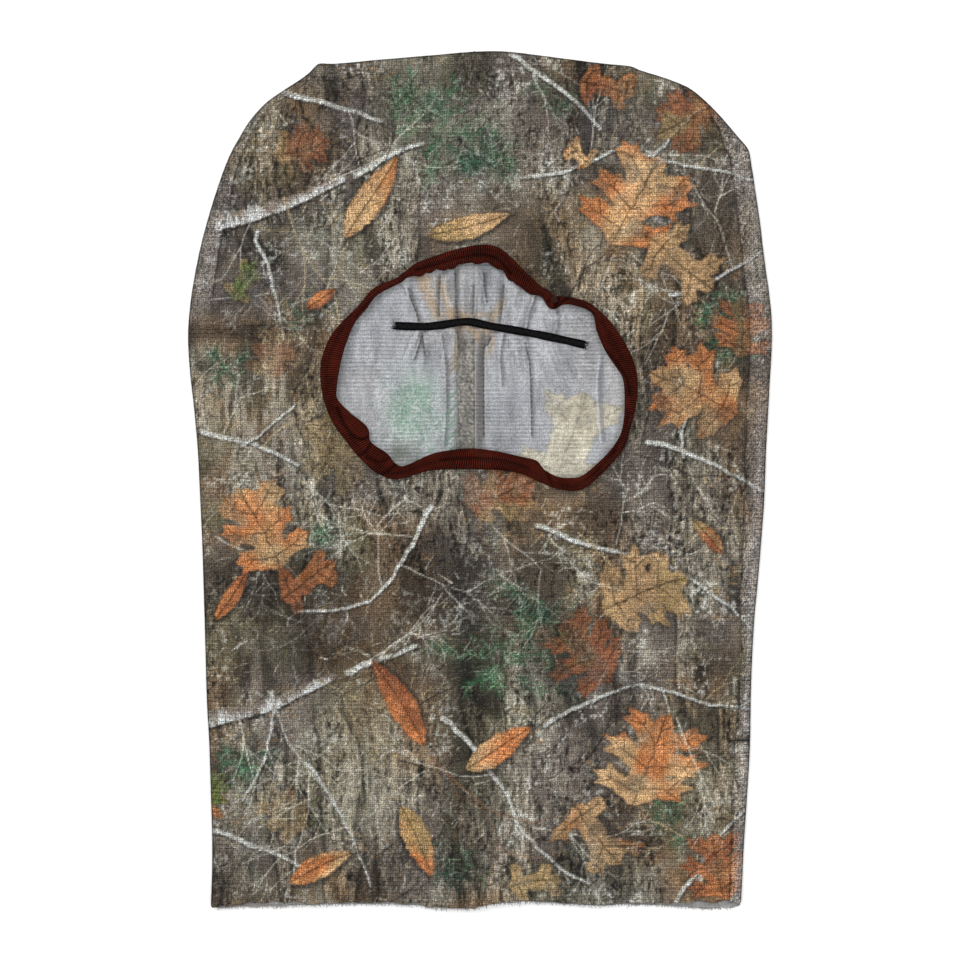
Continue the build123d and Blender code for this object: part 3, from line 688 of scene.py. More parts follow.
def ground():
    """Soft patches of colour, bark and litter under everything else."""
    x, y = paint.x, paint.y
    bent_x = x + 8 * clouds(x, y, 30, 36, 2, 101)
    bent_y = y + 8 * clouds(x, y, 30, 36, 2, 102)
    tone = clouds(bent_x, bent_y, 30, 58, 4, 11, 0.55)
    brownish = ramp(-0.25, 0.4, clouds(bent_x, bent_y, 52, 62, 2, 12))
    olive = ramp(-0.05, 0.5, clouds(bent_x, bent_y, 38, 44, 2, 13))
    c = mixed(rgb(97, 88, 80), rgb(110, 89, 67), brownish)
    c = mixed(c, rgb(98, 94, 74), 0.7 * olive)
    c = mixed(c, rgb(128, 122, 108), 0.75 * ramp(0.02, 0.42, tone))
    c = mixed(c, rgb(57, 52, 47), 0.55 * ramp(0.05, 0.42, -tone))
    # standing trunks: pale bark with long furrows and dark flanks
    trunk = clouds(bent_x, y, 19, 190, 2, 14)
    keep = ramp(-0.35, 0.15, clouds(x, y, 34, 50, 2, 26))
    bark = ramp(0.02, 0.16, trunk) * keep
    c = mixed(c, mixed(rgb(138, 130, 112), rgb(120, 100, 78), brownish), 0.50 * bark)
    c = lit(c, -0.36 * bell(trunk - 0.04, 0.06) * keep)
    warp = 2.2 * clouds(x, y, 11, 22, 2, 15)
    furrow = clouds(x + warp, y, 2.3, 17, 3, 16, 0.66)
    fur = 0.60 * furrow + 0.55 * clouds(x + 0.6 * warp, y, 1.0, 5.0, 2, 17, 0.7)
    calm = ramp(-0.12, 0.22, clouds(bent_x, bent_y, 40, 34, 2, 36)) * (1 - bark)
    busy = 1 - 0.75 * calm
    c = lit(c, (0.20 + 0.46 * bark) * busy * fur)
    c = lit(c, 0.16 * calm * clouds(bent_x, bent_y, 13, 8, 3, 37))
    # crevices and pale ridges
    crevice = 1 - np.abs(clouds(x + warp, y, 5.0, 13, 3, 27, 0.6)) * 2.2
    ridge = 1 - np.abs(clouds(x + warp, y + 5, 7.0, 9.0, 3, 28, 0.62)) * 2.2
    zone = ramp(-0.1, 0.35, clouds(x, y, 26, 32, 2, 29))
    c = lit(c, -0.50 * ramp(0.80, 0.98, crevice) * busy)
    c = mixed(c, rgb(176, 170, 152), 0.40 * ramp(0.84, 0.98, ridge) * zone * busy)
    # lichen: bright broken flecks in patches
    lichen = ramp(0.12, 0.42, clouds(x, y, 20, 17, 2, 20))
    lichen = lichen * ramp(0.12, 0.34, clouds(x, y, 1.9, 2.5, 3, 21, 0.72))
    c = mixed(c, rgb(192, 191, 182), 0.60 * lichen)
    # leaf litter crumbs
    litter = ramp(0.25, 0.45, clouds(x, y, 3.0, 2.6, 3, 22, 0.65))
    litter = litter * ramp(0.0, 0.4, clouds(x, y, 26, 22, 2, 23))
    c = mixed(c, rgb(150, 118, 80), 0.5 * litter)
    dark = ramp(0.22, 0.46, clouds(x, y, 2.4, 3.4, 3, 24, 0.7))
    dark = dark * ramp(-0.3, 0.2, clouds(x, y, 18, 26, 2, 30)) * busy
    c = lit(c, -0.48 * dark)
    c = lit(c, 0.22 * busy * clouds(x, y, 0.8, 1.1, 2, 25, 0.8))
    for cx, cy, wide, tall, strength in SHADOWS:
        c = lit(c, -strength * blob(x, y, cx, cy, wide, tall, 1.2))
    for cx, cy, wide, tall, strength, colour in PALE_PATCHES:
        amount = blob(x, y, cx, cy, wide, tall, 1.5) * strength
        amount = amount * ramp(-0.5, 0.2, furrow + tone)
        c = mixed(c, lit(colour, 0.25 * fur), amount)
    paint.colour[:] = np.clip(c, 0.02, 1)


def debris():
    """Short twigs, stems and shadows scattered over the ground."""
    rng = np.random.default_rng(3131)
    colours = [rgb(198, 194, 178), rgb(168, 142, 98), rgb(42, 36, 34), rgb(104, 106, 66),
               rgb(222, 220, 212)]
    odds = np.array([0.34, 0.20, 0.28, 0.10, 0.08])
    count = 5200
    xs, ys = rng.uniform(-160, 160, count), rng.uniform(-232, 232, count)
    density = clouds(xs, ys, 24, 30, 2, 140)
    for k in range(count):
        if density[k] < rng.uniform(-0.35, 0.40):
            continue
        length = rng.uniform(2.0, 9.5)
        start = np.array([xs[k], ys[k]])
        end = start + length * heading(rng.normal(math.pi / 2, 0.9))
        mid = (start + end) / 2 + rng.normal(0, length * 0.09, 2)
        col = colours[rng.choice(len(colours), p=odds)] * rng.uniform(0.8, 1.1)
        paint.line([start, mid, end], rng.uniform(0.14, 0.34), 0.1, col,
                   rng.uniform(0.3, 0.8), soft=0.4)


def paint_print():
    rng = np.random.default_rng(20406)
    ground()
    debris()
    # distant brush
    for k in range(190):
        start = rng.uniform(-158, 152), rng.uniform(-230, 228)
        col = (DARK_TWIG, TWIG * 0.85, GOLD * 0.8, DARK_TWIG)[k % 4]
        twig_tree(paint, start, rng.uniform(0, 360), rng.uniform(12, 30), 0.24, 2,
                  500 + k, col, 0.48)
    # soft greenery
    for k, (x, y, r, count) in enumerate(SPRAYS, 1):
        needles(x, y, r, count, 900 + k, GREEN if k % 2 else DEEP, 0.62)
        needles(x + 3, y - 2, r * 0.85, count // 3, 950 + k, rgb(84, 128, 86), 0.5)
    for k, (start, end, sag, wobble, start_w, end_w) in enumerate(BRANCHES):
        birch(bowed(start, end, sag, wobble, seed=k + 1), start_w, end_w, 41 + k)
    for k, (x, y, *shape) in enumerate(TWIGS):
        twig_tree(paint, (x, y), *shape, 700 + k, TWIG * 1.05 if k % 5 else GOLD, 0.78)
    for k in range(24):
        start = rng.uniform(-146, 146), rng.uniform(-216, 220)
        twig_tree(paint, start, rng.uniform(0, 360), 34, 0.42, 2, 800 + k, DARK_TWIG, 0.7)
    for k, (cx, cy, wide, tall, strength, colour) in enumerate(BARK):
        win = paint.window(cx - 2 * wide, cy - 2 * tall, cx + 2 * wide, cy + 2 * tall)
        x, y = paint.x[win], paint.y[win]
        amount = blob(x, y, cx, cy, wide, tall, 1.4)
        amount = amount * ramp(-0.55, 0.15, clouds(x, y, 7, 9, 3, 1400 + k))
        amount = amount * (0.75 + 0.4 * clouds(x, y, 1.2, 5.0, 2, 1450 + k))
        paint.mix(win, np.clip(strength * 1.25 * amount, 0, 0.85), colour)
    for k, leaf in enumerate(NARROW_LEAVES):
        slender_leaf(*leaf, 60 + k)
    for k, leaf in enumerate(BROAD_LEAVES):
        lobed_leaf(paint, *leaf, 160 + k)
    # stems over the leaves
    paint.line(bowed((-70, 126), (-78, 106), 1), 0.3, 0.2, OCHRE, 0.7)
    paint.line(bowed((-30, -142), (-20, -164), 1), 0.3, 0.2, OCHRE, 0.7)
    twig_tree(paint, (-26, -146), -60, 40, 0.34, 2, 991, RUST, 0.7)
    twig_tree(paint, (70, 118), -110, 46, 0.34, 3, 992, TWIG * 1.05, 0.85)
    twig_tree(paint, (104, -126), -80, 50, 0.34, 3, 993, TWIG * 1.05, 0.8)
    fleck = ramp(0.40, 0.60, clouds(paint.x, paint.y, 1.1, 1.3, 2, 30, 0.9))
    fleck = fleck * ramp(0.0, 0.4, clouds(paint.x, paint.y, 26, 30, 2, 31))
    c = mixed(paint.colour, rgb(200, 197, 184), 0.26 * fleck)
    # contrast, then less colour, a cool cast and softer highlights
    c = 0.405 + (c - 0.40) * 1.22
    level = c.mean(2, keepdims=True)
    c = (level + (c - level) * 0.86) * np.array([0.985, 1.0, 1.015])
    c = c - 0.38 * np.maximum(c.mean(2, keepdims=True) - 0.66, 0)
    paint.colour[:] = np.clip(c, 0.03, 1)


paint_print()

# ------------------------------------------------- the pale face of the lining
pale = Canvas(-96.0, -16.0, 96.0, 134.0, cell=0.34)

# Warm stems: points, half width, strength.
WARM_STEMS = [
    ([(-32, 112), (-27, 98), (-22, 86)], 4.0, 0.5), ([(-22, 106), (-17, 94), (-14, 80)], 3.0, 0.42),
    ([(-12, 90), (-6, 82), (0, 72)], 3.2, 0.5), ([(12, 96), (6, 84), (-2, 76)], 2.2, 0.5),
    ([(-9, 84), (-12, 70), (-14, 58)], 2.2, 0.5), ([(2, 82), (6, 74), (4, 66)], 2.4, 0.42),
    ([(-20, 88), (-8, 87), (8, 88)], 1.4, 0.5),
]
# Creases into the elastic, painted as shade and highlight: points, darkness, half width, side of
# the painted shade.
CREASES = [
    ([(-38.2, 101.8), (-36.5, 96), (-33.5, 88), (-32.3, 83.2)], 0.85, 0.34, 1),
    ([(-21.2, 108.7), (-21.6, 98), (-21.7, 87)], 0.8, 0.32, -1),
    ([(-13.3, 110.2), (-12.6, 100), (-12.4, 92), (-11.7, 84.3)], 0.9, 0.36, 1),
    ([(2.1, 110.2), (2.5, 102), (3.7, 94.3)], 0.75, 0.32, 1),
    ([(12.7, 103.9), (12.0, 94), (10.6, 83.2)], 0.7, 0.3, -1),
    ([(-30.7, 77.4), (-33, 69), (-35.0, 63.6)], 0.8, 0.3, 1),
    ([(-30.7, 77.4), (-29.8, 71), (-29.2, 66.3)], 0.8, 0.3, -1),
    ([(-12.2, 79.5), (-11, 70), (-10.1, 61.5)], 0.85, 0.34, 1),
    ([(5.8, 75.8), (4.2, 72), (2.1, 68.9), (1.9, 50), (2.1, 22.3)], 0.85, 0.36, -1),
    ([(23.9, 73.7), (25.4, 66), (26.5, 60.4), (27.2, 44), (27.6, 22.3)], 0.7, 0.3, 1),
    ([(-20, 77), (-18, 60), (-17.5, 40), (-18.5, 18)], 0.4, 0.3, 1),
    ([(30, 98), (27, 90), (25, 80)], 0.55, 0.28, 1),
    ([(-3, 104), (-3.4, 96), (-4, 88)], 0.5, 0.28, -1),
    ([(40, 92), (41.5, 84), (40, 77)], 0.35, 0.26, 1),
    ([(13, 78), (11, 66), (12, 50)], 0.35, 0.26, 1),
]
# Upright folds painted as highlight and shade: points, half widths at both ends, colour, strength,
# softness.
FOLD_HIGHLIGHT_AND_SHADE = [
    ([(63.6, 66), (62, 48), (64, 20)], 0.5, 0.4, rgb(222, 226, 232), 0.7, 0.5),
    ([(65.2, 66), (63.8, 48), (65.8, 20)], 1.3, 1.0, rgb(120, 122, 130), 0.3, 1.6),
    ([(2, 78), (0.0, 66), (-0.4, 46), (-0.2, 18)], 1.5, 1.2, rgb(104, 100, 98), 0.6, 2.4),
]


def crease_shade_and_highlight(points, dark, width, side):
    """A fold with painted shade on one side, a painted highlight on the other, and a row of dark
    points along it, partly the overlapped mesh and partly painted shade.
    """
    line = smooth(points, 1.0)
    across = left_of(tangents(line)) * side
    reach = 1.3
    pale.line(line + across * reach * 0.55, reach * 0.5, reach * 0.3, rgb(92, 91, 92), 0.304,
              soft=2.0)
    pale.line(line - across * reach * 0.7, reach * 0.35, reach * 0.25, rgb(216, 217, 220), 0.224,
              soft=1.1)
    for k in range(len(line) - 1):
        strength = min(dark * 1.35, 1) * (0.50 + 0.50 * math.sin(k * 2.2))
        pale.line(line[k:k + 2], width, width, rgb(42, 38, 34), strength, soft=0.42)


def pale_base():
    """Mottled yarn with painted streaks of sheen and shade, and a green patch where the print shows
    through.
    """
    x, y = pale.x, pale.y
    c = lit(rgb(166, 167, 170), 0.15 * clouds(x, y, 16, 26, 3, 201, 0.6))
    # painted sheen: streaks of highlight and shade, stronger near the elastic
    painted_sheen = clouds(x + 2 * clouds(x, y, 9, 12, 2, 202), y, 4.5, 22, 3, 203, 0.6)
    c = lit(c, (0.17 + 0.10 * bell(y - 92, 24)) * painted_sheen)
    blot = ramp(0.15, 0.45, clouds(x, y, 4.0, 3.0, 3, 204, 0.65))
    blot = blot * ramp(0.0, 0.4, clouds(x, y, 24, 20, 2, 205))
    c = mixed(c, rgb(214, 214, 214), 0.30 * blot)
    c = mixed(c, rgb(168, 154, 140), 0.12 * ramp(0.1, 0.5, clouds(x, y, 30, 26, 2, 206)))
    c = mixed(c, rgb(142, 146, 154), 0.22 * ramp(0.0, 0.4, clouds(x, y, 26, 40, 2, 207)))
    green = blob(x, y, -34, 37, 15, 19, 1.3) * (0.55 + 0.45 * clouds(x, y, 5, 7, 3, 208))
    pale.colour[:] = mixed(c, rgb(104, 158, 122), 0.72 * green)


def pale_growth(rng):
    """Faint needles, a broad leaf, stems and twigs."""
    for _ in range(420):
        start = np.array([rng.normal(-36, 11), rng.normal(26, 11)])
        angle = rng.uniform(0, math.pi)
        end = start + rng.uniform(1.2, 4) * heading(angle)
        col = rgb(206, 210, 210) if rng.uniform() < 0.72 else rgb(110, 150, 126)
        mid = (start + end) / 2 + rng.normal(0, 0.4, 2)
        pale.line([start, mid, end], 0.3, 0.15, col, rng.uniform(0.3, 0.75), soft=0.4)
    for _ in range(170):
        start = np.array([rng.normal(-62, 11), rng.normal(46, 12)])
        angle = rng.uniform(0, math.pi)
        end = start + rng.uniform(1.5, 5) * heading(angle)
        pale.line([start, end], 0.3, 0.15, rgb(202, 198, 194), rng.uniform(0.2, 0.6), soft=0.5)
    lobed_leaf(pale, 46, 18, 58, 56, 76, rgb(206, 199, 176), rgb(194, 184, 158),
               lobes=2, strength=0.80, seed=236, shadow=0.04, full=1.25, vein=0.24)
    for points, w, strength in WARM_STEMS:
        pale.line(smooth(points, 2.0), w * 0.8, w * 0.5, rgb(172, 148, 118), strength * 0.8,
                  soft=3.4, rough=0.4, seed=7)
    # start, angle in degrees, length
    for k, (start, angle, length) in enumerate((
            ((40, 64), 10, 30), ((62, 60), 175, 24), ((30, 60), -40, 18), ((58, 46), 160, 22))):
        twig_tree(pale, start, angle, length, 0.28, 1, 240 + k, rgb(206, 206, 206), 0.55)


def slack_fold_highlight_and_shade(rng):
    """Small folds of slack cloth, painted as bright highlights and dull shade."""
    # fanning out above and below the elastic
    for _ in range(150):
        x = rng.uniform(-42, 46)
        up = rng.uniform() < 0.5
        y = 84 - 0.12 * x + (rng.uniform(2, 12) if up else -rng.uniform(4, 16))
        length = rng.uniform(6, 20)
        spread = (x + 2) * 0.010 + rng.normal(0, 0.10)
        end = np.array([x + spread * length, y + (length if up else -length)])
        mid = np.array([(x + end[0]) / 2 + rng.normal(0, 0.6), (y + end[1]) / 2])
        col = rgb(208, 209, 212) if rng.uniform() < 0.55 else rgb(116, 116, 118)
        pale.line([np.array([x, y]), mid, end], rng.uniform(0.25, 0.8), 0.2, col,
                  rng.uniform(0.2, 0.5), soft=0.8)
    # scattered over the right half
    for k in range(90):
        start = np.array([rng.uniform(14, 70), rng.uniform(20, 95)])
        angle = rng.normal(0.5, 0.8)
        end = start + rng.uniform(3, 12) * heading(angle)
        mid = (start + end) / 2 + rng.normal(0, 0.6, 2)
        pale.line([start, mid, end], rng.uniform(0.25, 0.6), 0.2,
                  rgb(210, 210, 208) if k % 3 else rgb(116, 116, 120),
                  rng.uniform(0.15, 0.42), soft=0.8)


def pale_allowance():
    """The pressed-over seam allowance: a speckled darker strip and its edge."""
    x, y = pale.x, pale.y
    strip_edge = -11.9
    below = 1 - ramp(72, 79, y)
    on = ramp(strip_edge, -11.3, x + 0.4 * noise(y / 2.0, y * 0, 217)) * (x < SEAM_X)
    grain = noise(x / 0.5, y / 0.5, 211) * 0.6 + noise(x / 1.1, y / 1.3, 212) * 0.4
    strip = lit(lit(rgb(124, 120, 112), 0.66 * grain), 0.22 * clouds(x, y, 3, 9, 2, 216))
    c = mixed(pale.colour, strip, on * (0.2 + 0.8 * below) * 0.86)
    line = bell(x - strip_edge + 0.3 * np.sin(y / 7), 0.4) * below
    c = lit(c, -0.5 * line * (0.6 + 0.4 * noise(y / 1.1, y * 0, 218)))
    dashes = bell(x + 12.9, 0.35) * below * (np.abs(((y / 1.9) % 1.0) - 0.5) < 0.28)
    pale.colour[:] = mixed(c, rgb(196, 184, 150), 0.45 * dashes)
    for k in range(26):
        row = 14 + k * 1.9
        p = np.array([-18.0 + 1.6 * math.sin(k * 1.7), row])
        col = rgb(88, 132, 100) if row < 46 else rgb(120, 116, 110)
        pale.line([p, p + np.array([3.0, 1.9]), p + np.array([5.4, 4.8])], 0.3, 0.2, col, 0.55,
                  soft=0.5)


def paint_pale():
    rng = np.random.default_rng(210)
    x, y = pale.x, pale.y
    pale_base()
    pale_growth(rng)
    for fold in CREASES:
        crease_shade_and_highlight(*fold)
    for points, start_w, end_w, colour, strength, soft in FOLD_HIGHLIGHT_AND_SHADE:
        pale.line(smooth(points, 2.0), start_w, end_w, colour, strength, soft=soft)
    slack_fold_highlight_and_shade(rng)
    # shade where the bound edge stands off the back at lower left
    shade = 0.62 * blob(x, y, -42, 14, 8, 5, 1.1)
    pale.colour[:] = mixed(pale.colour, rgb(84, 86, 76), shade)
    pale_allowance()
    fine = clouds(x, y, 0.7, 0.7, 2, 213, 0.8)
    pale.colour[:] = np.clip(lit(pale.colour, 0.10 * fine), 0, 1)


paint_pale()

# ----------------------------------------------------------- distance fields
# Distances to the side seam and the hole, kept on a grid and read smoothly.
FIELD_STEP = 2.0
FIELD_X = np.arange(-170, 170 + FIELD_STEP, FIELD_STEP)
FIELD_Y = np.arange(-236, 236 + FIELD_STEP, FIELD_STEP)
_gx, _gy = np.meshgrid(FIELD_X, FIELD_Y)
_places = np.stack([_gx.ravel(), _gy.ravel()], 1)
# the sides run on past the open neck
_long_side = np.vstack([[(-142.9, -300.0)], SIDE_LINE, [(138.5, -300.0)]])
SIDE_FIELD = nearest(_places, _long_side)[0].reshape(_gx.shape)
HOLE_FIELD = nearest(_places, HOLE, True)[0].reshape(_gx.shape)
HOLE_FIELD = np.where(inside(FIELD_X, FIELD_Y, HOLE), -HOLE_FIELD, HOLE_FIELD)


def field_at(field, x, y):
    return bilinear(field, (x - FIELD_X[0]) / FIELD_STEP, (y - FIELD_Y[0]) / FIELD_STEP)


def edge_distance(x, y):
    return field_at(SIDE_FIELD, x, y)


def hole_distance(x, y):
    """Distance outside the hole; negative within it."""
    return field_at(HOLE_FIELD, x, y)


# ------------------------------------------------------------------- heights
def dome(x, y):
    """The front panel's broad shape, lower towards the neck."""
    rise = 1 - 1 / (1 + (np.maximum(edge_distance(x, y) - 4.0, 0) / 20.0) ** 2)
    return 1.25 + 5.0 * rise * (0.30 + 0.70 * ramp(-227.0, -167.0, y))


# Width of the turned-in allowance at stations of y, left and right side.
LEFT_STRIP = (
    [-240, 60, 96, 113, 130, 146, 172, 190, 200, 212],
    [11.6, 11.6, 11.2, 10.6, 9.4, 8.4, 5.8, 3.6, 2.2, 1.3],
)
RIGHT_STRIP = (
    [-230, -180, -172, -140, -118, -90, -60, -30, 20, 60, 97, 150, 172, 179, 186, 198, 212],
    [6.6, 6.4, 8.2, 8.0, 6.2, 5.6, 8.5, 10.2, 11.0, 11.6, 11.8, 11.2, 10.2, 8.6, 5.0, 1.6, 1.3],
)


def strip_width(x, y):
    return np.where(x < 0, np.interp(y, *LEFT_STRIP), np.interp(y, *RIGHT_STRIP))


def strip_reach(x, y):
    """The allowance is flat all down the right, but only high on the left."""
    return np.where(x < 0, ramp(82, 100, y), 1.0)


def fold_line(x, y):
    """Height above an old fold mark that crosses the left side."""
    return y - 81.5 - 0.03 * (x + 110)


def front_height(x, y):
    """Top of the front cloth."""
    edge = edge_distance(x, y)
    hole = hole_distance(x, y)
    z = dome(x, y) + THICK
    # folded-in allowance raises a flat band with a step at its inner edge
    band = strip_width(x, y)
    on = ramp(2, 5, band) * strip_reach(x, y)
    z = z + 0.16 * (1 - ramp(band - 0.9, band + 0.9, edge)) * on
    z = z + 0.40 * bell(edge - 5.4, 3.2)
    z = z - 0.80 * (1 - ramp(0.0, 2.6, edge)) ** 2
    # seam puckers
    pucker = (x + y * np.sign(x)) * TURN / 5.2 + 2 * clouds(x, y, 20, 20, 2, 72)
    z = z + 0.13 * np.exp(-edge / 6.0) * np.sin(pucker)
    # broad slack in the knit
    z = z + 0.75 * clouds(x, y, 46, 70, 3, 73) * ramp(2, 26, edge)
    z = z + 0.28 * clouds(x, y, 9, 34, 3, 74) * ramp(1, 12, edge)
    # fold marks: across the left side, up the middle and across below
    left = ramp(-162, -140, x) * (1 - ramp(-96, -70, x))
    z = z - 0.55 * bell(fold_line(x, y), 1.5) * left
    z = z + 0.30 * bell(x - 17.0 - 0.02 * y, 1.6) * (1 - ramp(-30, 0, y))
    z = z + 0.22 * bell(y + 95.0 + 0.02 * x, 1.8)
    # pull lines round the bound opening, and the dip beside it
    angle = np.arctan2(y - OPEN_Y, x - OPEN_X)
    pull = (np.sin(angle * 23 + 2.2 * clouds(x, y, 18, 18, 2, 75)) * 0.6
            + np.sin(angle * 37 + 1.3) * 0.4)
    z = z + 0.42 * pull * np.exp(-np.maximum(hole, 0) / 9.0) * ramp(0.5, 4.0, hole)
    z = z - 0.7 * bell(np.maximum(hole - 2, 0), 5.0) * ramp(0, 2, hole)
    # the pinched fold beside the binding's join
    dx, dy = x - 41.0, y - 101.0
    along = dx * 0.42 + dy * 0.91
    across = dx * 0.91 - dy * 0.42
    z = z + 1.5 * bell(across - 2.2, 2.1) * bell(along - 3, 8.0)
    z = z - 1.1 * bell(across + 1.2, 1.5) * bell(along - 2, 6.0)
    # wavy open neck edge
    neck = np.exp(-np.maximum(y + 226, 0) / 9.0)
    z = z + neck * (0.9 * np.sin(x / 21.0 + 0.8) + 0.5 * np.sin(x / 8.3) + 0.3)
    return np.maximum(z, 1.05)


# Gathers on the inside of the back: points down the fold, depth, width.
GATHERS = [
    ([(-38, 102), (-35, 92), (-32, 83)], 1.6, 1.5),
    ([(-20.5, 111), (-21.5, 98), (-21.5, 86)], 1.3, 1.3),
    ([(-13, 112), (-12.5, 98), (-11.5, 84), (-10, 70), (-10.4, 55)], 2.0, 1.5),
    ([(3, 112), (2.5, 100), (4.5, 88), (7, 80), (3.5, 71), (2.3, 60), (2.6, 20)], 1.8, 1.7),
    ([(12.5, 104), (11.6, 92), (10, 82)], 1.4, 1.5),
    ([(-30, 80), (-33.5, 70), (-35.5, 62)], 1.2, 1.2),
    ([(-29, 80), (-28.2, 70), (-27.5, 62)], 1.0, 1.1),
    ([(-15, 81), (-14.5, 70), (-16, 52), (-17, 30)], 0.9, 1.6),
    ([(24, 78), (26, 66), (27, 50), (28, 20)], 1.1, 1.7),
    ([(30, 95), (26, 86), (22.5, 79)], 1.0, 1.5),
    ([(40, 92), (41, 84), (40, 76)], 0.7, 1.5),
    ([(63, 68), (61.5, 50), (63, 28)], -0.8, 1.4),
]


def gather_height(x, y):
    """Sum of fold valleys and the swells on both sides of them."""
    total = np.zeros(x.shape)
    for points, depth, width in GATHERS:
        line = smooth(points, 2.0)
        line = line[np.argsort(line[:, 1])]
        low, top = line[0, 1], line[-1, 1]
        fade = ramp(low - 10, low + 8, y) * (1 - ramp(top - 4, top + 6, y))
        size = depth * fade * (0.45 + 0.55 * bell(y - 82, 26.0))
        d = x - np.interp(y, line[:, 1], line[:, 0])
        total = total - size * bell(d, width)
        total = total + 0.6 * size * bell(d - 3.0 * width, 1.7 * width)
        total = total + 0.4 * size * bell(d + 3.0 * width, 1.9 * width)
    return total


def back_height(x, y):
    """Top (inside face) of the back cloth as it lies."""
    edge = edge_distance(x, y)
    z = 0.66 + 0.84 * ramp(6, 34, edge)
    near_elastic = bell(y - 82, 52.0) * np.exp(-((x - 2) / 60.0) ** 4)
    z = z + 1.5 * near_elastic + gather_height(x, y) * 0.95
    z = z + 0.35 * clouds(x, y, 26, 44, 3, 81) * ramp(2, 20, edge)
    z = z + 0.12 * clouds(x, y, 5, 26, 3, 82) * ramp(1, 10, edge)
    neck = np.exp(-np.maximum(y + 228, 0) / 8.0)
    z = z + neck * (0.25 * np.sin(x / 17.0 + 2.0) - 0.3)
    z = z - 0.2 * (1 - ramp(0.0, 2.5, edge))
    # stays under the front cloth outside the opening
    floor, gap, open_roof = 0.52, 0.25, 60.0
    roof = np.where(hole_distance(x, y) > 4, front_height(x, y) - THICK - gap, open_roof)
    return np.clip(np.minimum(z, np.maximum(roof, floor)), floor, 9.0)


# --------------------------------------------------------------- mesh makers
def new_object(name, verts, quads, *materials):
    """A smooth-shaded object of quads from vertices in mm."""
    mesh = bpy.data.meshes.new(name)
    verts = np.asarray(verts, np.float32) * MM
    quads = np.asarray(quads, np.int32)
    count = len(quads)
    mesh.vertices.add(len(verts))
    mesh.vertices.foreach_set("co", verts.ravel())
    mesh.loops.add(quads.size)
    mesh.loops.foreach_set("vertex_index", quads.ravel())
    mesh.polygons.add(count)
    mesh.polygons.foreach_set("loop_start", np.arange(0, quads.size, 4, dtype=np.int32))
    mesh.polygons.foreach_set("loop_total", np.full(count, 4, np.int32))
    mesh.update(calc_edges=True)
    mesh.polygons.foreach_set("use_smooth", np.ones(count, bool))
    mesh.validate()
    obj = bpy.data.objects.new(name, mesh)
    bpy.context.scene.collection.objects.link(obj)
    for material in materials:
        mesh.materials.append(material)
    return obj


def point_value(obj, name, values):
    at = obj.data.attributes.new(name, "FLOAT", "POINT")
    at.data.foreach_set("value", np.asarray(values, np.float32).ravel())


def print_on(obj, colour, shade):
    """Hand painted colours and their shading to the cloth materials."""
    c = np.clip(colour, 0, 1)
    c = np.where(c <= 0.04045, c / 12.92, ((c + 0.055) / 1.055) ** 2.4)
    at = obj.data.attributes.new("print", "FLOAT_COLOR", "POINT")
    c = np.concatenate([c, np.ones((len(c), 1))], 1).astype(np.float32)
    at.data.foreach_set("color", c.ravel())
    point_value(obj, "shade", shade)


def grid_quads(rows, cols, close_rows=False, close_cols=False):
    """Quads over vertices numbered row by row."""
    i = np.arange(rows if close_rows else rows - 1)[:, None]
    k = np.arange(cols if close_cols else cols - 1)[None, :]
    i2, k2 = (i + 1) % rows, (k + 1) % cols
    corners = [i * cols + k, i * cols + k2, i2 * cols + k2, i2 * cols + k]
    return np.stack(corners, -1).reshape(-1, 4)


def end_cap(first, sides):
    """Quads across a ring of vertices that starts at number first."""
    s = np.arange(sides // 2 - 1)
    return first + np.stack([s, s + 1, sides - 2 - s, sides - 1 - s], 1)


def tube(path, radius, sides):
    """Vertices and quads of a capped round thread; the radius may vary."""
    p = np.asarray(path, float)
    n = len(p)
    t = tangents(p)
    side = np.cross(t, np.tile(np.array((0, 0, 1), float), (n, 1)))
    size = np.linalg.norm(side, axis=1, keepdims=True)
    side = np.where(size > 1e-3, side / np.maximum(size, 1e-9), np.array([1.0, 0, 0]))
    up = np.cross(side, t)
    r = np.broadcast_to(np.asarray(radius, float), (n,))
    a = np.linspace(0, TURN, sides, endpoint=False)[None, :, None]
    ring = (np.cos(a) * side[:, None, :] + np.sin(a) * up[:, None, :]) * r[:, None, None]
    verts = (p[:, None, :] + ring).reshape(-1, 3)
    quads = grid_quads(n, sides, close_cols=True)[:, ::-1]
    caps = [end_cap(0, sides), end_cap((n - 1) * sides, sides)[:, ::-1]]
    return verts, np.vstack([quads, *caps])


def merge(parts):
    verts, quads, offset = [], [], 0
    for v, q in parts:
        verts.append(v)
        quads.append(q + offset)
        offset += len(v)
    return np.vstack(verts), np.vstack(quads)


def threads(name, parts, material):
    return new_object(name, *merge(parts), material)


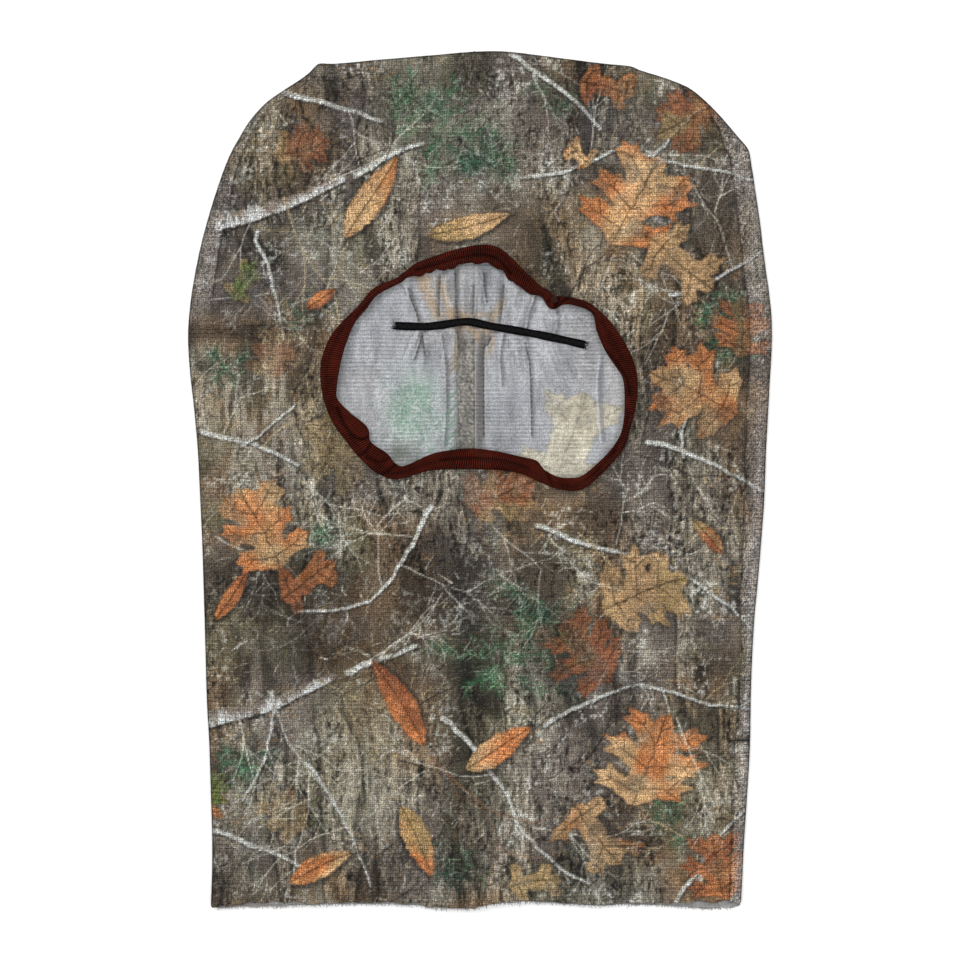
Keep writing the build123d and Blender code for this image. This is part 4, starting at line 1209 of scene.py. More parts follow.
def sheet(name, xs, ys, reach, loop, hole, snap_lines, top, materials, x_limits=(-1e9, 1e9)):
    """A closed sheet of cloth over a region: top, underside and cut edges.

    Rim vertices within reach snap to the (line, closed) pairs. Returns the
    object and the x and y of one face's vertices.
    """
    cx, cy = (xs[:-1] + xs[1:]) / 2, (ys[:-1] + ys[1:]) / 2
    keep = inside(cx, cy, loop)
    if hole is not None:
        keep &= ~inside(cx, cy, hole)
    keep &= ((cx > x_limits[0]) & (cx < x_limits[1]))[None, :]
    for _ in range(3):  # cells hanging by one side would fold when snapped
        pad = np.pad(keep, 1)
        sides = pad[:-2, 1:-1].astype(int) + pad[2:, 1:-1] + pad[1:-1, :-2] + pad[1:-1, 2:]
        keep &= sides >= 2
    ny, nx = keep.shape
    pad = np.pad(keep, 1)
    touch = pad[:-1, :-1].astype(int) + pad[:-1, 1:] + pad[1:, :-1] + pad[1:, 1:]
    used = touch > 0
    index = -np.ones(used.shape, np.int64)
    index[used] = np.arange(used.sum())
    jj, ii = np.nonzero(used)
    p = np.stack([xs[ii], ys[jj]], 1).astype(float)
    rim = touch[used] < 4
    rim_points = p[rim]
    best = np.full(len(rim_points), 1e9)
    to = rim_points.copy()
    for line, closed in snap_lines:
        d, where = nearest(rim_points, line, closed)
        take = d < best
        best = np.where(take, d, best)
        to[take] = where[take]
    far = best > reach
    to[far] = rim_points[far]
    p[rim] = to
    j, i = np.nonzero(keep)
    quads = np.stack([index[j, i], index[j, i + 1], index[j + 1, i + 1], index[j + 1, i]], 1)
    z = top(p[:, 0], p[:, 1])
    n = len(p)
    verts = np.vstack([np.column_stack([p, z]), np.column_stack([p, z - THICK])])
    # each open cell side: step to the neighbour, then the side's two corners
    edges = []
    for dj, di, a, b in ((-1, 0, (0, 0), (0, 1)), (0, 1, (0, 1), (1, 1)),
                         (1, 0, (1, 1), (1, 0)), (0, -1, (1, 0), (0, 0))):
        j, i = np.nonzero(keep & ~pad[1 + dj:1 + dj + ny, 1 + di:1 + di + nx])
        va, vb = index[j + a[0], i + a[1]], index[j + b[0], i + b[1]]
        edges.append(np.stack([vb, va, va + n, vb + n], 1))
    edges = np.concatenate(edges)
    obj = new_object(name, verts, np.vstack([quads, quads[:, ::-1] + n, edges]), *materials)
    # the underside takes the second material
    slots = np.zeros(2 * len(quads) + len(edges), np.int32)
    slots[len(quads):2 * len(quads)] = 1
    if len(obj.data.polygons) == len(slots):  # validation may have dropped a face
        obj.data.polygons.foreach_set("material_index", slots)
    return obj, p[:, 0], p[:, 1]


# ------------------------------------------------------------------ materials
class Material:
    """A principled material whose nodes are written as expressions."""

    def __init__(self, name):
        self.mat = bpy.data.materials.new(name)
        self.mat.use_nodes = True
        self.tree = self.mat.node_tree
        self.tree.nodes.clear()
        output = self.node("OutputMaterial")
        self.shader = self.node("BsdfPrincipled")
        self.feed(output.inputs[0], self.shader.outputs[0])

    def node(self, kind):
        return self.tree.nodes.new("ShaderNode" + kind)

    def feed(self, socket, value):
        """Link an output, or set a plain value."""
        if isinstance(value, bpy.types.NodeSocket):
            self.tree.links.new(value, socket)
        else:
            socket.default_value = value

    def calc(self, operation, *inputs, clamp=False):
        n = self.node("Math")
        n.operation = operation
        n.use_clamp = clamp
        for socket, value in zip(n.inputs, inputs):
            self.feed(socket, value)
        return n.outputs[0]

    def product(self, first, *others):
        for other in others:
            first = self.calc("MULTIPLY", first, other)
        return first

    def total(self, a, b, clamp=False):
        return self.calc("ADD", a, b, clamp=clamp)

    def centred(self, signal, amount):
        return self.product(self.calc("SUBTRACT", signal, 0.5), amount)

    def swing(self, signal, amount, middle=0.5):
        """A factor of 1 that sways with a signal about its middle."""
        return self.calc("MULTIPLY_ADD", self.calc("SUBTRACT", signal, middle), amount, 1.0)

    def mix(self, fac, a, b, blend="MIX"):
        n = self.node("Mix")
        n.data_type = "RGBA"
        n.blend_type = blend
        n.clamp_factor = True
        for socket, value in ((0, fac), (6, a), (7, b)):
            self.feed(n.inputs[socket], value)
        return n.outputs[2]

    def times(self, colour, factor):
        """A colour multiplied by a number."""
        n = self.node("CombineXYZ")
        for socket in n.inputs:
            self.feed(socket, factor)
        return self.mix(1.0, colour, n.outputs[0], "MULTIPLY")

    def coords(self, scale=(1, 1, 1)):
        mapping = self.node("Mapping")
        mapping.inputs["Scale"].default_value = scale
        self.feed(mapping.inputs["Vector"], self.node("TexCoord").outputs["Object"])
        return mapping.outputs[0]

    def noise(self, scale, detail, roughness):
        """Noise; scale is the grains per metre along x, y and z."""
        n = self.node("TexNoise")
        self.feed(n.inputs["Vector"], self.coords(scale))
        for name, value in (("Scale", 1.0), ("Detail", detail), ("Roughness", roughness)):
            n.inputs[name].default_value = value
        return n.outputs["Fac"]

    def wave(self, place, axis, period, warp, warp_size, phase=None):
        """A 0..1 wave along an axis; period and warp size are in metres."""
        sep = self.node("SeparateXYZ")
        self.feed(sep.inputs[0], place)
        v = self.calc("MULTIPLY_ADD", warp, warp_size, sep.outputs[axis])
        v = self.calc("MULTIPLY", v, TURN / period)
        if phase is not None:
            v = self.total(v, phase)
        return self.calc("MULTIPLY_ADD", self.calc("SINE", v), 0.5, 0.5)

    def remap(self, value, reads, gives):
        n = self.node("MapRange")
        for socket, v in zip(n.inputs, (value, *reads, *gives)):
            self.feed(socket, v)
        return n.outputs[0]

    def attr(self, name, out="Fac"):
        n = self.node("Attribute")
        n.attribute_name = name
        return n.outputs[out]

    def set(self, **values):
        for name, value in values.items():
            self.feed(self.shader.inputs[name.replace("_", " ")], value)

    def bump(self, height, strength, distance):
        n = self.node("Bump")
        n.inputs["Strength"].default_value = strength
        n.inputs["Distance"].default_value = distance
        self.feed(n.inputs["Height"], height)
        self.set(Normal=n.outputs[0])


X_AXIS, Y_AXIS = 0, 1
STITCH_WIDE, STITCH_TALL = 0.00117, 0.00113   # one knitted stitch, in metres


def knit_jitter(m):
    """Random phase that breaks up the rows of stitches."""
    return m.product(m.noise(scale=(330, 420, 200), detail=1, roughness=0.5), 7.0)


def knit_holes(m, place, warp, jitter):
    wale = m.wave(place, X_AXIS, STITCH_WIDE, warp, warp_size=0.004, phase=jitter)
    knit = m.wave(place, Y_AXIS, STITCH_TALL, warp, warp_size=0.002, phase=jitter)
    return m.product(wale, knit)


def printed_mesh():
    m = Material("camo_mesh_face")
    gain = 0.94
    place = m.coords()
    streak = m.noise(scale=(700, 420, 300), detail=3, roughness=0.65)
    fine = m.noise(scale=(1200, 1150, 900), detail=2, roughness=0.75)
    grit = m.noise(scale=(1550, 1500, 1200), detail=1, roughness=0.6)
    warp = m.noise(scale=(20, 26, 22), detail=2, roughness=0.5)
    # knitted courses lie across the hood, wales run up it
    course = m.wave(place, Y_AXIS, period=0.00212, warp=warp, warp_size=0.0042)
    course = m.remap(course, reads=(0.15, 0.8), gives=(0.0, 1.0))
    jitter = knit_jitter(m)
    fine_course = m.wave(place, Y_AXIS, period=0.00106, warp=warp, warp_size=0.0042,
                         phase=m.product(jitter, 0.4))
    holes = knit_holes(m, place, warp, jitter)
    patch = m.remap(m.noise(scale=(18, 26, 20), detail=2, roughness=0.5),
                    reads=(0.36, 0.62), gives=(0.3, 1.0))
    breakup = m.remap(m.noise(scale=(90, 600, 200), detail=2, roughness=0.6),
                      reads=(0.3, 0.7), gives=(0.55, 1.0))
    rows = m.product(
        m.swing(course, amount=m.product(patch, breakup, 0.42), middle=0.62),
        m.swing(fine_course, amount=0.16), m.swing(holes, amount=-0.85, middle=0.25),
    )
    grain = m.product(m.swing(streak, amount=0.45), m.swing(grit, amount=3.0),
                      m.swing(fine, amount=1.7))
    factor = m.product(rows, grain, m.attr("shade"), gain)
    col = m.times(m.attr("print", "Color"), factor)
    # pale bits of bare yarn, and dark pin holes of the open mesh
    yarn = m.remap(m.noise(scale=(900, 1100, 700), detail=2, roughness=0.7),
                   reads=(0.60, 0.72), gives=(0.0, 0.22))
    col = m.mix(yarn, col, (0.36, 0.35, 0.33, 1))
    pin = m.remap(m.noise(scale=(1250, 1150, 900), detail=2, roughness=0.8),
                  reads=(0.34, 0.26), gives=(0.0, 0.55))
    col = m.mix(pin, col, (0.012, 0.011, 0.010, 1))
    m.set(Base_Color=col, Specular_IOR_Level=0.16, Sheen_Weight=0.03, Sheen_Roughness=0.5,
          Roughness=m.remap(fine, reads=(0.3, 0.7), gives=(0.76, 0.94)))
    height = m.total(m.product(course, 0.6), m.product(holes, -0.6))
    m.bump(m.total(height, m.product(fine, 0.5)), strength=0.6, distance=0.0003)
    return m.mat


def pale_inside():
    m = Material("camo_mesh_inside")
    gain = 0.69
    place = m.coords()
    warp = m.noise(scale=(18, 18, 18), detail=2, roughness=0.5)
    course = m.wave(place, Y_AXIS, period=0.00207, warp=warp, warp_size=0.003)
    holes = knit_holes(m, place, warp, knit_jitter(m))
    patch = m.remap(m.noise(scale=(20, 40, 20), detail=2, roughness=0.5),
                    reads=(0.36, 0.60), gives=(0.25, 1.0))
    cloud = m.noise(scale=(120, 60, 60), detail=3, roughness=0.6)
    fine = m.noise(scale=(1500, 1400, 900), detail=2, roughness=0.75)
    grit = m.noise(scale=(1500, 1450, 1200), detail=1, roughness=0.6)
    breakup = m.remap(m.noise(scale=(110, 800, 200), detail=2, roughness=0.6),
                      reads=(0.3, 0.7), gives=(0.45, 1.0))
    rows = m.total(1.0, m.product(m.centred(course, amount=0.56), patch, breakup))
    rows = m.product(rows, m.swing(holes, amount=-0.24, middle=0.25))
    grain = m.product(m.swing(fine, amount=0.80), m.swing(grit, amount=1.5))
    grain = m.product(m.swing(cloud, amount=0.55), grain)
    factor = m.product(rows, grain, m.attr("shade"), gain)
    m.set(Base_Color=m.times(m.attr("print", "Color"), factor),
          Specular_IOR_Level=0.22, Sheen_Weight=0.05, Sheen_Roughness=0.4,
          Roughness=m.remap(cloud, reads=(0.3, 0.7), gives=(0.55, 0.8)))
    m.bump(m.total(m.product(course, 0.7), m.product(fine, 0.5)),
           strength=0.5, distance=0.00025)
    return m.mat


def binding_knit():
    m = Material("binding_rib_knit")
    rib = m.attr("rib")
    fine = m.noise(scale=(1500, 1500, 1500), detail=3, roughness=0.7)
    cloud = m.noise(scale=(60, 60, 60), detail=3, roughness=0.6)
    # painted light: rib crests lighter than their hollows and lumps lighter or darker, over the
    # yarn's grain and mottle
    light = m.total(m.product(m.calc("POWER", rib, 1.4), 0.85), m.centred(fine, amount=1.6))
    light = m.product(light, m.remap(m.attr("lump"), reads=(0.0, 1.0), gives=(0.45, 1.25)))
    light = m.total(light, m.centred(cloud, amount=0.5), clamp=True)
    col = m.mix(light, (0.0032, 0.0005, 0.0003, 1), (0.094, 0.0140, 0.0072, 1))
    # painted shade from the groove attribute: darker in the stitched groove, the tucks and along
    # the edges
    col = m.mix(m.product(m.attr("groove"), 0.72), col, (0.006, 0.0013, 0.001, 1))
    m.set(Base_Color=col, Specular_IOR_Level=0.03, Sheen_Weight=0.015, Sheen_Roughness=0.5,
          Sheen_Tint=(0.9, 0.4, 0.3, 1),
          Roughness=m.remap(fine, reads=(0.3, 0.7), gives=(0.78, 0.95)))
    m.bump(m.total(m.product(rib, 0.6), fine), strength=0.5, distance=0.00025)
    return m.mat


def black_elastic():
    m = Material("braided_black_elastic")
    braid = m.attr("braid")
    fine = m.noise(scale=(2200, 2200, 2200), detail=2, roughness=0.7)
    # painted highlight on the braid's crests, over the yarn's grain
    light = m.total(m.product(m.calc("POWER", braid, 3.0), 0.8),
                    m.centred(fine, amount=1.3), clamp=True)
    m.set(Base_Color=m.mix(light, (0.0004, 0.0004, 0.0005, 1), (0.0150, 0.0138, 0.0150, 1)),
          Specular_IOR_Level=0.02,
          Roughness=m.remap(fine, reads=(0.3, 0.7), gives=(0.6, 0.8)))
    m.bump(m.total(braid, m.product(fine, 0.5)), strength=0.5, distance=0.0002)
    return m.mat


def thread(name, dark, light):
    m = Material(name)
    twist = m.noise(scale=(1500, 1500, 1500), detail=3, roughness=0.7)
    broad = m.noise(scale=(120, 120, 120), detail=2, roughness=0.5)
    share = m.total(m.product(twist, 0.8), m.centred(broad, amount=0.6), clamp=True)
    m.set(Base_Color=m.mix(share, dark, light), Specular_IOR_Level=0.15, Sheen_Weight=0.02,
          Roughness=m.remap(twist, reads=(0.3, 0.7), gives=(0.5, 0.75)))
    m.bump(twist, strength=0.4, distance=0.0001)
    return m.mat


MAT_PRINT = printed_mesh()
MAT_INSIDE = pale_inside()
MAT_BIND = binding_knit()
MAT_ELASTIC = black_elastic()
MAT_DARK = thread("dark_thread", (0.010, 0.009, 0.009, 1), (0.055, 0.05, 0.048, 1))
MAT_LIGHT = thread("light_thread", (0.22, 0.22, 0.21, 1), (0.62, 0.62, 0.58, 1))
MAT_GREY = thread("grey_thread", (0.10, 0.10, 0.095, 1), (0.36, 0.35, 0.33, 1))
MAT_BLACK = thread("black_thread", (0.0012, 0.0012, 0.0014, 1), (0.010, 0.0095, 0.010, 1))
MAT_BROWN = thread("brown_thread", (0.008, 0.002, 0.0016, 1), (0.06, 0.014, 0.01, 1))


# ---------------------------------------------------------------- the panels
FRONT_STEP = 0.66
BACK_FINE, BACK_WIDE = ((0.55, 2.0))
SNAP = 1.6                  # how far a rim vertex may snap, in grid steps
HALF_X, HALF_Y = 158, 230   # half the area the grids cover


def strip_paint(colour, x, y):
    """The turned-in allowance seen through the mesh, and its seam lines."""
    d, _ = nearest(np.stack([x, y], 1), SIDE_LINE)
    w = strip_width(x, y)
    w = w + 0.5 * clouds(x, y, 10, 12, 2, 91) * ramp(1.5, 4, w)
    reach = strip_reach(x, y)
    inner = (1 - ramp(w - 0.5, w + 0.2, d)) * ramp(1.2, 3.0, w) * reach
    # a second, doubled layer near the edge low on the right
    double = 1 - ramp(0.55 * w - 0.4, 0.55 * w + 0.3, d)
    double = double * (x > 0) * (1 - ramp(20, 60, y))
    grain = 0.5 + 0.5 * noise(x / 0.5, y / 0.62, 92)
    cloud = 0.5 + 0.5 * clouds(x, y, 7, 16, 2, 95)
    amount = (0.16 + 0.34 * grain) * inner * (0.40 + 0.9 * cloud)
    colour = mixed(colour, rgb(176, 168, 166), amount)
    colour = mixed(colour, rgb(170, 166, 172), (0.10 + 0.26 * grain) * double)
    specks = np.maximum(inner, double) * ramp(0.1, 0.6, noise(x / 0.55, y / 0.7, 93))
    colour = lit(colour, -0.44 * specks)
    chain = np.abs(((y + 0.2 * d) / 2.0) % 1.0 - 0.5) * 2
    lace = double * (1 - ramp(0.1, 0.5, chain)) * ramp(0.6, 1.4, d)
    colour = mixed(colour, rgb(190, 186, 188), 0.30 * lace)
    # dark line and soft shade at the allowance's inner edge
    wide = ramp(2.5, 5, w) * reach
    line = bell(d - (w + 0.35 * noise(x / 1.2, y / 1.2, 98)), 0.42) * wide
    colour = lit(colour, -0.72 * line * (0.55 + 0.45 * noise(x / 3.1, y / 3.1, 88)))
    soft = np.exp(-np.maximum(d - w, 0) / 1.8) * (1 - inner) * wide
    colour = lit(colour, -0.22 * soft)
    # a small pucker where the seam was stopped and started again, its shade painted in
    colour = lit(colour, -0.72 * bell(y + 138.0, 0.9) * ramp(133, 138, x))
    colour = lit(colour, -0.55 * bell(d, 0.75))
    rim = bell(d - 1.9, 0.5) * (0.5 + 0.5 * noise(x / 2.2, y / 2.2, 99))
    return lit(colour, -0.20 * rim)


def lining(x, y, print_colour):
    """The unprinted side: pale yarn with the print showing faintly through."""
    base = lit(rgb(166, 167, 170), 0.13 * clouds(x, y, 16, 26, 3, 221, 0.6))
    base = lit(base, 0.10 * clouds(x, y, 3.5, 16, 3, 222, 0.6))
    return np.clip(0.80 * base + 0.26 * print_colour, 0, 1)


def front_piece():
    loop = hood_loop(NECK_FRONT)
    xs = np.arange(-HALF_X, HALF_X + FRONT_STEP, FRONT_STEP)
    ys = np.arange(-HALF_Y, HALF_Y + FRONT_STEP, FRONT_STEP)
    obj, x, y = sheet("front_panel_cloth", xs, ys, FRONT_STEP * SNAP, loop, HOLE,
                      [(loop, True), (HOLE, True)], front_height, (MAT_PRINT, MAT_INSIDE))
    printed = paint.at(x, y)
    # painted shade: darker beside the binding, in the left fold and under the pinched fold
    shade = 1.0 - 0.16 * bell(np.maximum(hole_distance(x, y) - 3.5, 0), 3.2)
    shade = shade + 0.10 * clouds(x, y, 36, 52, 2, 96)
    shade = shade * (1 - 0.22 * bell(fold_line(x, y), 1.2) * (1 - ramp(-96, -70, x)))
    shade = shade * (1 - 0.6 * blob(x, y, 39.0, 101.5, 3.0, 3.2))
    print_on(obj, np.vstack([strip_paint(printed, x, y), lining(x, y, printed)]),
             np.concatenate([shade, np.ones(len(x))]))
    return obj


def graded(half, low, high):
    """Grid lines, finer between low and high."""
    return np.unique(np.round(np.concatenate([
        np.arange(-half, low, BACK_WIDE), np.arange(low, high, BACK_FINE),
        np.arange(high, half + BACK_WIDE, BACK_WIDE),
    ]), 4))


def back_piece(name, x_limits):
    loop = hood_loop(NECK_BACK)
    seam = np.array([[SEAM_X, -235.0], [SEAM_X, 232.0]])
    obj, x, y = sheet(name, graded(HALF_X, -92, 92), graded(HALF_Y, -12, 130),
                      BACK_WIDE * SNAP, loop, None, [(loop, True), (seam, False)],
                      back_height, (MAT_INSIDE, MAT_PRINT), x_limits)
    # the detailed pale face shows only about the opening
    w = ramp(-96, -84, x) * (1 - ramp(84, 96, x)) * ramp(-16, -7, y) * (1 - ramp(125, 134, y))
    outside = paint.at(-x, y)
    face = mixed(lining(x, y, outside), pale.at(x, y), w)
    # painted light and shade: lighter on the gathers' swells, darker in their valleys
    shade = 1 + 0.07 * np.clip(gather_height(x, y), -1, 1)
    # painted light: lighter just inside the hole's edge, where the raised binding shades the back
    shade = shade * (1 + 0.13 * bell(hole_distance(x, y) + 5.5, 3.4))
    print_on(obj, np.vstack([face, outside]), np.concatenate([shade, np.ones(len(x))]))
    return obj


# ------------------------------------------------------------------- binding
BIND_RINGS = 3000
BIND_SECTION = 36
RIB_PITCH = 1.14
# Folds pressed into the binding: points, depth, width.
TUCKS = [
    ([(-56.5, 25), (-62, 21.5), (-68, 24), (-72.5, 31), (-75.5, 38)], 1.3, 0.75),
    ([(-57, 20), (-61, 14.5), (-65.5, 12.5)], 1.0, 0.7), ([(-44, 9), (-48, 5), (-52, 3)], 0.8, 0.7),
    ([(-46, 13), (-53, 9.5), (-60, 12)], 0.7, 0.8),
    ([(39.6, 89.6), (40.2, 93), (41.2, 96), (42.2, 99)], 2.2, 1.25),
    ([(41.5, 91), (43.4, 94.4), (46.4, 96.2)], 1.1, 0.7), ([(36, 94), (38.6, 97)], 0.8, 0.6),
    ([(46, 95.2), (53, 93.8), (60, 88)], 0.7, 0.6),
    ([(33.5, 6.5), (36.5, 1.5), (38.6, -3.6)], 0.8, 0.7),
    ([(64, 71), (71, 63.5), (77, 55), (79.5, 45)], 0.9, 0.75),
    ([(-34, 111), (-22, 114.2), (-12, 117.2), (0, 119), (9, 117), (16, 109.5)], 0.9, 0.7),
    ([(-66, 86), (-58, 94.5), (-46, 102)], 0.6, 0.6),
    ([(-20, 10.5), (-4, 11.6), (12, 10.4), (26, 6.2)], 0.7, 0.65),
    ([(50, -2.4), (58, 1.6), (68, 12), (74.5, 22)], 0.5, 0.55),
]


def tuck_heights(x, y):
    """Height change of the folds over the binding, and their painted shade."""
    points = np.stack([x.ravel(), y.ravel()], 1)
    height, painted_shade = np.zeros(x.size), np.zeros(x.size)
    for line, depth, width in TUCKS:
        near = np.abs(points - np.mean(line, axis=0)).max(1) < 40
        d, _ = nearest(points[near], smooth(line, 1.0))
        valley = bell(d, width)
        height[near] -= depth * valley - 0.38 * depth * bell(d - 2.1, 1.1)
        painted_shade[near] = np.maximum(painted_shade[near], valley * min(depth, 1.0))
    return height.reshape(x.shape), painted_shade.reshape(x.shape)


def binding_piece():
    """Returns the object, its middle line, the distance travelled along that,
    the whole distance round, the groove's path and the top's greatest height."""
    angle = np.linspace(0, TURN, BIND_RINGS, endpoint=False)
    r_out, r_in = opening_radius(BIND_OUT, angle), opening_radius(BIND_IN, angle)
    # scallops along the upper inner edge
    deg = np.degrees(angle)
    scallop = np.abs(np.sin(math.pi * (deg + 2 * np.sin(deg / 9.0)) / 6.6))
    r_in = r_in + 1.1 * (0.62 - scallop) * ramp(64, 74, deg) * (1 - ramp(118, 130, deg))
    outer, inner = around_opening(r_out, angle), around_opening(r_in, angle)
    mid = (outer + inner) / 2
    travelled = lengths(np.vstack([mid, mid[:1]]))
    total, travelled = travelled[-1], travelled[:-1]
    along, turn = travelled[:, None], angle[:, None]
    width = np.linalg.norm(outer - inner, axis=1)[:, None]
    # closed section: over the top from the outer to the inner edge, back below
    s = np.linspace(0, 1, BIND_SECTION, endpoint=False)
    topside = (s < 0.5)[None, :]
    share = np.where(s < 0.5, s * 2, 2 - s * 2)
    share = 0.5 - 0.5 * np.cos(share * math.pi) * 0.35 - 0.65 * (0.5 - share)
    share = np.clip(share, 0, 1)[None, :]      # 0 at the outer edge, 1 at the inner
    arch = np.sqrt(np.clip(1 - (2 * share - 1) ** 2, 0, 1)) ** 0.9
    lump = clouds(along + 0 * share, share * 9 + 0 * width, 7.0, 5.0, 3, 56)
    lump = lump * ramp(0, 12, along) * (1 - ramp(total - 12, total, along))
    thick = 1.30 + 0.55 * ramp(6, 11, width) + 0.45 * lump
    groove_at = 0.40 + 0.10 * np.sin(turn * 3 + 0.6)
    groove = bell((share - groove_at) * width, 0.62) * ramp(5.5, 8.0, width)
    x = outer[:, :1] + (inner - outer)[:, :1] * share
    y = outer[:, 1:] + (inner - outer)[:, 1:] * share
    tuck, tuck_shade = tuck_heights(x, y)
    phase = round(total / RIB_PITCH) * TURN * along / total
    lean = 1.6 * (share - 0.5) + 0.9 * np.sin(turn * 9) + 1.6 * lump
    rib = 0.5 + 0.5 * np.cos(phase + lean)
    tilt = 0.9 * np.sin(turn * 2 + 2.2) + 0.6 * np.sin(turn * 5 + 0.4)
    soft = clouds(np.cos(turn) * 60, np.sin(turn) * 60, 9, 9, 3, 55)
    level = front_height(mid[:, 0], mid[:, 1])[:, None] + tilt * (share - 0.5) * 0.7 + 0.3 * soft
    low = level - 0.55 - arch * 0.55
    top = level + 0.25 + arch * thick - 0.9 * groove * arch + 0.34 * (rib - 0.5) * arch
    top = top + np.maximum(tuck, -0.85 * arch * thick) * arch
    top = np.maximum(top, low + 0.15)
    z = np.where(topside, top, low)
    for column in (0, BIND_SECTION // 2):
        z[:, column] = level[:, column] - 0.1
    quads = grid_quads(BIND_RINGS, BIND_SECTION, True, True)[:, [0, 3, 2, 1]]
    obj = new_object("binding_cloth", np.stack([x, y, z], -1).reshape(-1, 3), quads, MAT_BIND)
    # the rib attribute also drives painted highlights on the rib crests
    point_value(obj, "rib", rib)
    # painted shade in the stitched groove and the tucks, and along the edges, handed over as the
    # groove attribute
    painted_shade = np.maximum(groove * 0.8, tuck_shade) * topside
    point_value(obj, "groove", np.maximum(painted_shade, (1 - ramp(0.0, 0.35, arch)) * 0.55))
    # the lump attribute also carries painted shading: raised lumps lighter, tucks darker
    point_value(obj, "lump", np.clip(0.5 + 0.5 * lump + 0.25 * tuck, 0, 1))
    column = np.abs(share[:, :BIND_SECTION // 2] - groove_at).argmin(1)
    path = np.column_stack([
        outer + (inner - outer) * groove_at, top[np.arange(BIND_RINGS), column] + 0.02])
    return obj, mid, travelled, total, path, top.max(1)


def binding_stitches(path, travelled, total):
    """Stitches sunk in the groove."""
    pitch, length = 2.3, 1.6
    parts = []
    for q in range(int(total / pitch)):
        pts = at_length(path, travelled, np.linspace(q * pitch, q * pitch + length, 7))
        pts[:, 2] += np.sin(np.linspace(0, math.pi, 7)) * 0.16 - 0.06
        parts.append(tube(pts, 0.13, 6))
    return threads("binding_stitch_thread", parts, MAT_BROWN)


def binding_tack(mid, crest):
    """Seven short bars over the binding's join."""
    parts = []
    half = 1.7
    e = np.linspace(-half, half, 9)
    for q in range(7):
        t = (q - 3) * 0.55
        cx, cy = 39.2 + 0.80 * t, 95.3 + 0.35 * t
        near = np.argmin((mid[:, 0] - cx) ** 2 + (mid[:, 1] - cy) ** 2)
        z = crest[near] + 0.05 + 0.12 * np.cos(e / half * math.pi / 2)
        parts.append(tube(np.column_stack([cx - 0.36 * e, cy + 0.93 * e, z]), 0.16, 6))
    return threads("binding_tack_thread", parts, MAT_BROWN)


# ------------------------------------------------------------------- elastic
ELASTIC_STEP = 0.22
elastic_line = smooth(ELASTIC, ELASTIC_STEP)
elastic_dir = tangents(elastic_line)
elastic_side = left_of(elastic_dir)
elastic_rows = len(elastic_line)
elastic_at = np.linspace(0, elastic_rows * ELASTIC_STEP, elastic_rows)


def elastic_heights():
    """Middle height: nearly straight, bridging the small gathers."""
    under = np.maximum.reduce([
        back_height(*(elastic_line + elastic_side * off).T) for off in (-2, -1, 0, 1, 2)
    ])
    reach = 18
    padded = np.pad(under, reach, mode="edge")
    under = np.max([padded[k:k + elastic_rows] for k in range(2 * reach + 1)], axis=0)
    kernel = np.hanning(75)
    kernel /= kernel.sum()
    under = np.convolve(np.pad(under, 37, mode="edge"), kernel, "valid") - 0.25
    under = under + 0.55 * np.exp(-((elastic_line[:, 0] + 8.5) / 6.5) ** 4)
    return under + 0.62


elastic_z = elastic_heights()


def elastic_piece():
    """A flat braided strip with frayed ends."""
    sides = 24
    a = np.linspace(0, TURN, sides, endpoint=False)
    across = np.sign(np.cos(a)) * np.abs(np.cos(a)) ** 0.6
    up = np.sign(np.sin(a)) * np.abs(np.sin(a)) ** 0.7
    half = 2.12 + 0.10 * np.sin(elastic_at / 3.1) + 0.06 * np.sin(elastic_at * TURN / 1.3)
    ridge = 0.5 + 0.5 * np.cos(across * math.pi * 4.0)
    plait = 0.5 + 0.5 * np.cos(elastic_at[:, None] * TURN / 1.15 + across[None, :] * 6.0)
    thick = 0.42 + (0.07 * ridge + 0.05 * plait) * (up > 0)
    plan = (elastic_line[:, None, :]
            + elastic_side[:, None, :] * (across[None, :, None] * half[:, None, None]))
    z = elastic_z[:, None] + up * thick
    verts = np.concatenate([plan, z[..., None]], -1).reshape(-1, 3)
    quads = np.vstack([
        grid_quads(elastic_rows, sides, close_cols=True), end_cap(0, sides)[:, [0, 3, 2, 1]],
        end_cap((elastic_rows - 1) * sides, sides)[:, [1, 2, 3, 0]],
    ])
    parts = [(verts, quads)]
    rng = np.random.default_rng(77)
    e = np.linspace(-0.4, 1, 7)
    out = np.maximum(e, 0)
    for end, sign in ((0, -1), (elastic_rows - 1, 1)):
        for _ in range(16):
            base = elastic_line[end] + elastic_side[end] * rng.uniform(-1.9, 1.9)
            length = rng.uniform(0.8, 2.6)
            bend = rng.normal(0, 0.8)
            pts = (base + np.outer(sign * length * e, elastic_dir[end])
                   + np.outer(bend * out ** 2, elastic_side[end]))
            z = elastic_z[end] + rng.uniform(-0.25, 0.3) + 0.25 * out
            parts.append(tube(np.column_stack([pts, z]), np.linspace(0.17, 0.07, 7), 6))
    obj = threads("elastic_strip", parts, MAT_ELASTIC)
    # the braid attribute also drives the elastic's painted highlight
    braid = (0.5 * ridge[None, :] + 0.5 * plait).ravel()
    loose = np.full(len(obj.data.vertices) - len(braid), 0.6)
    point_value(obj, "braid", np.concatenate([braid, loose]))
    return obj


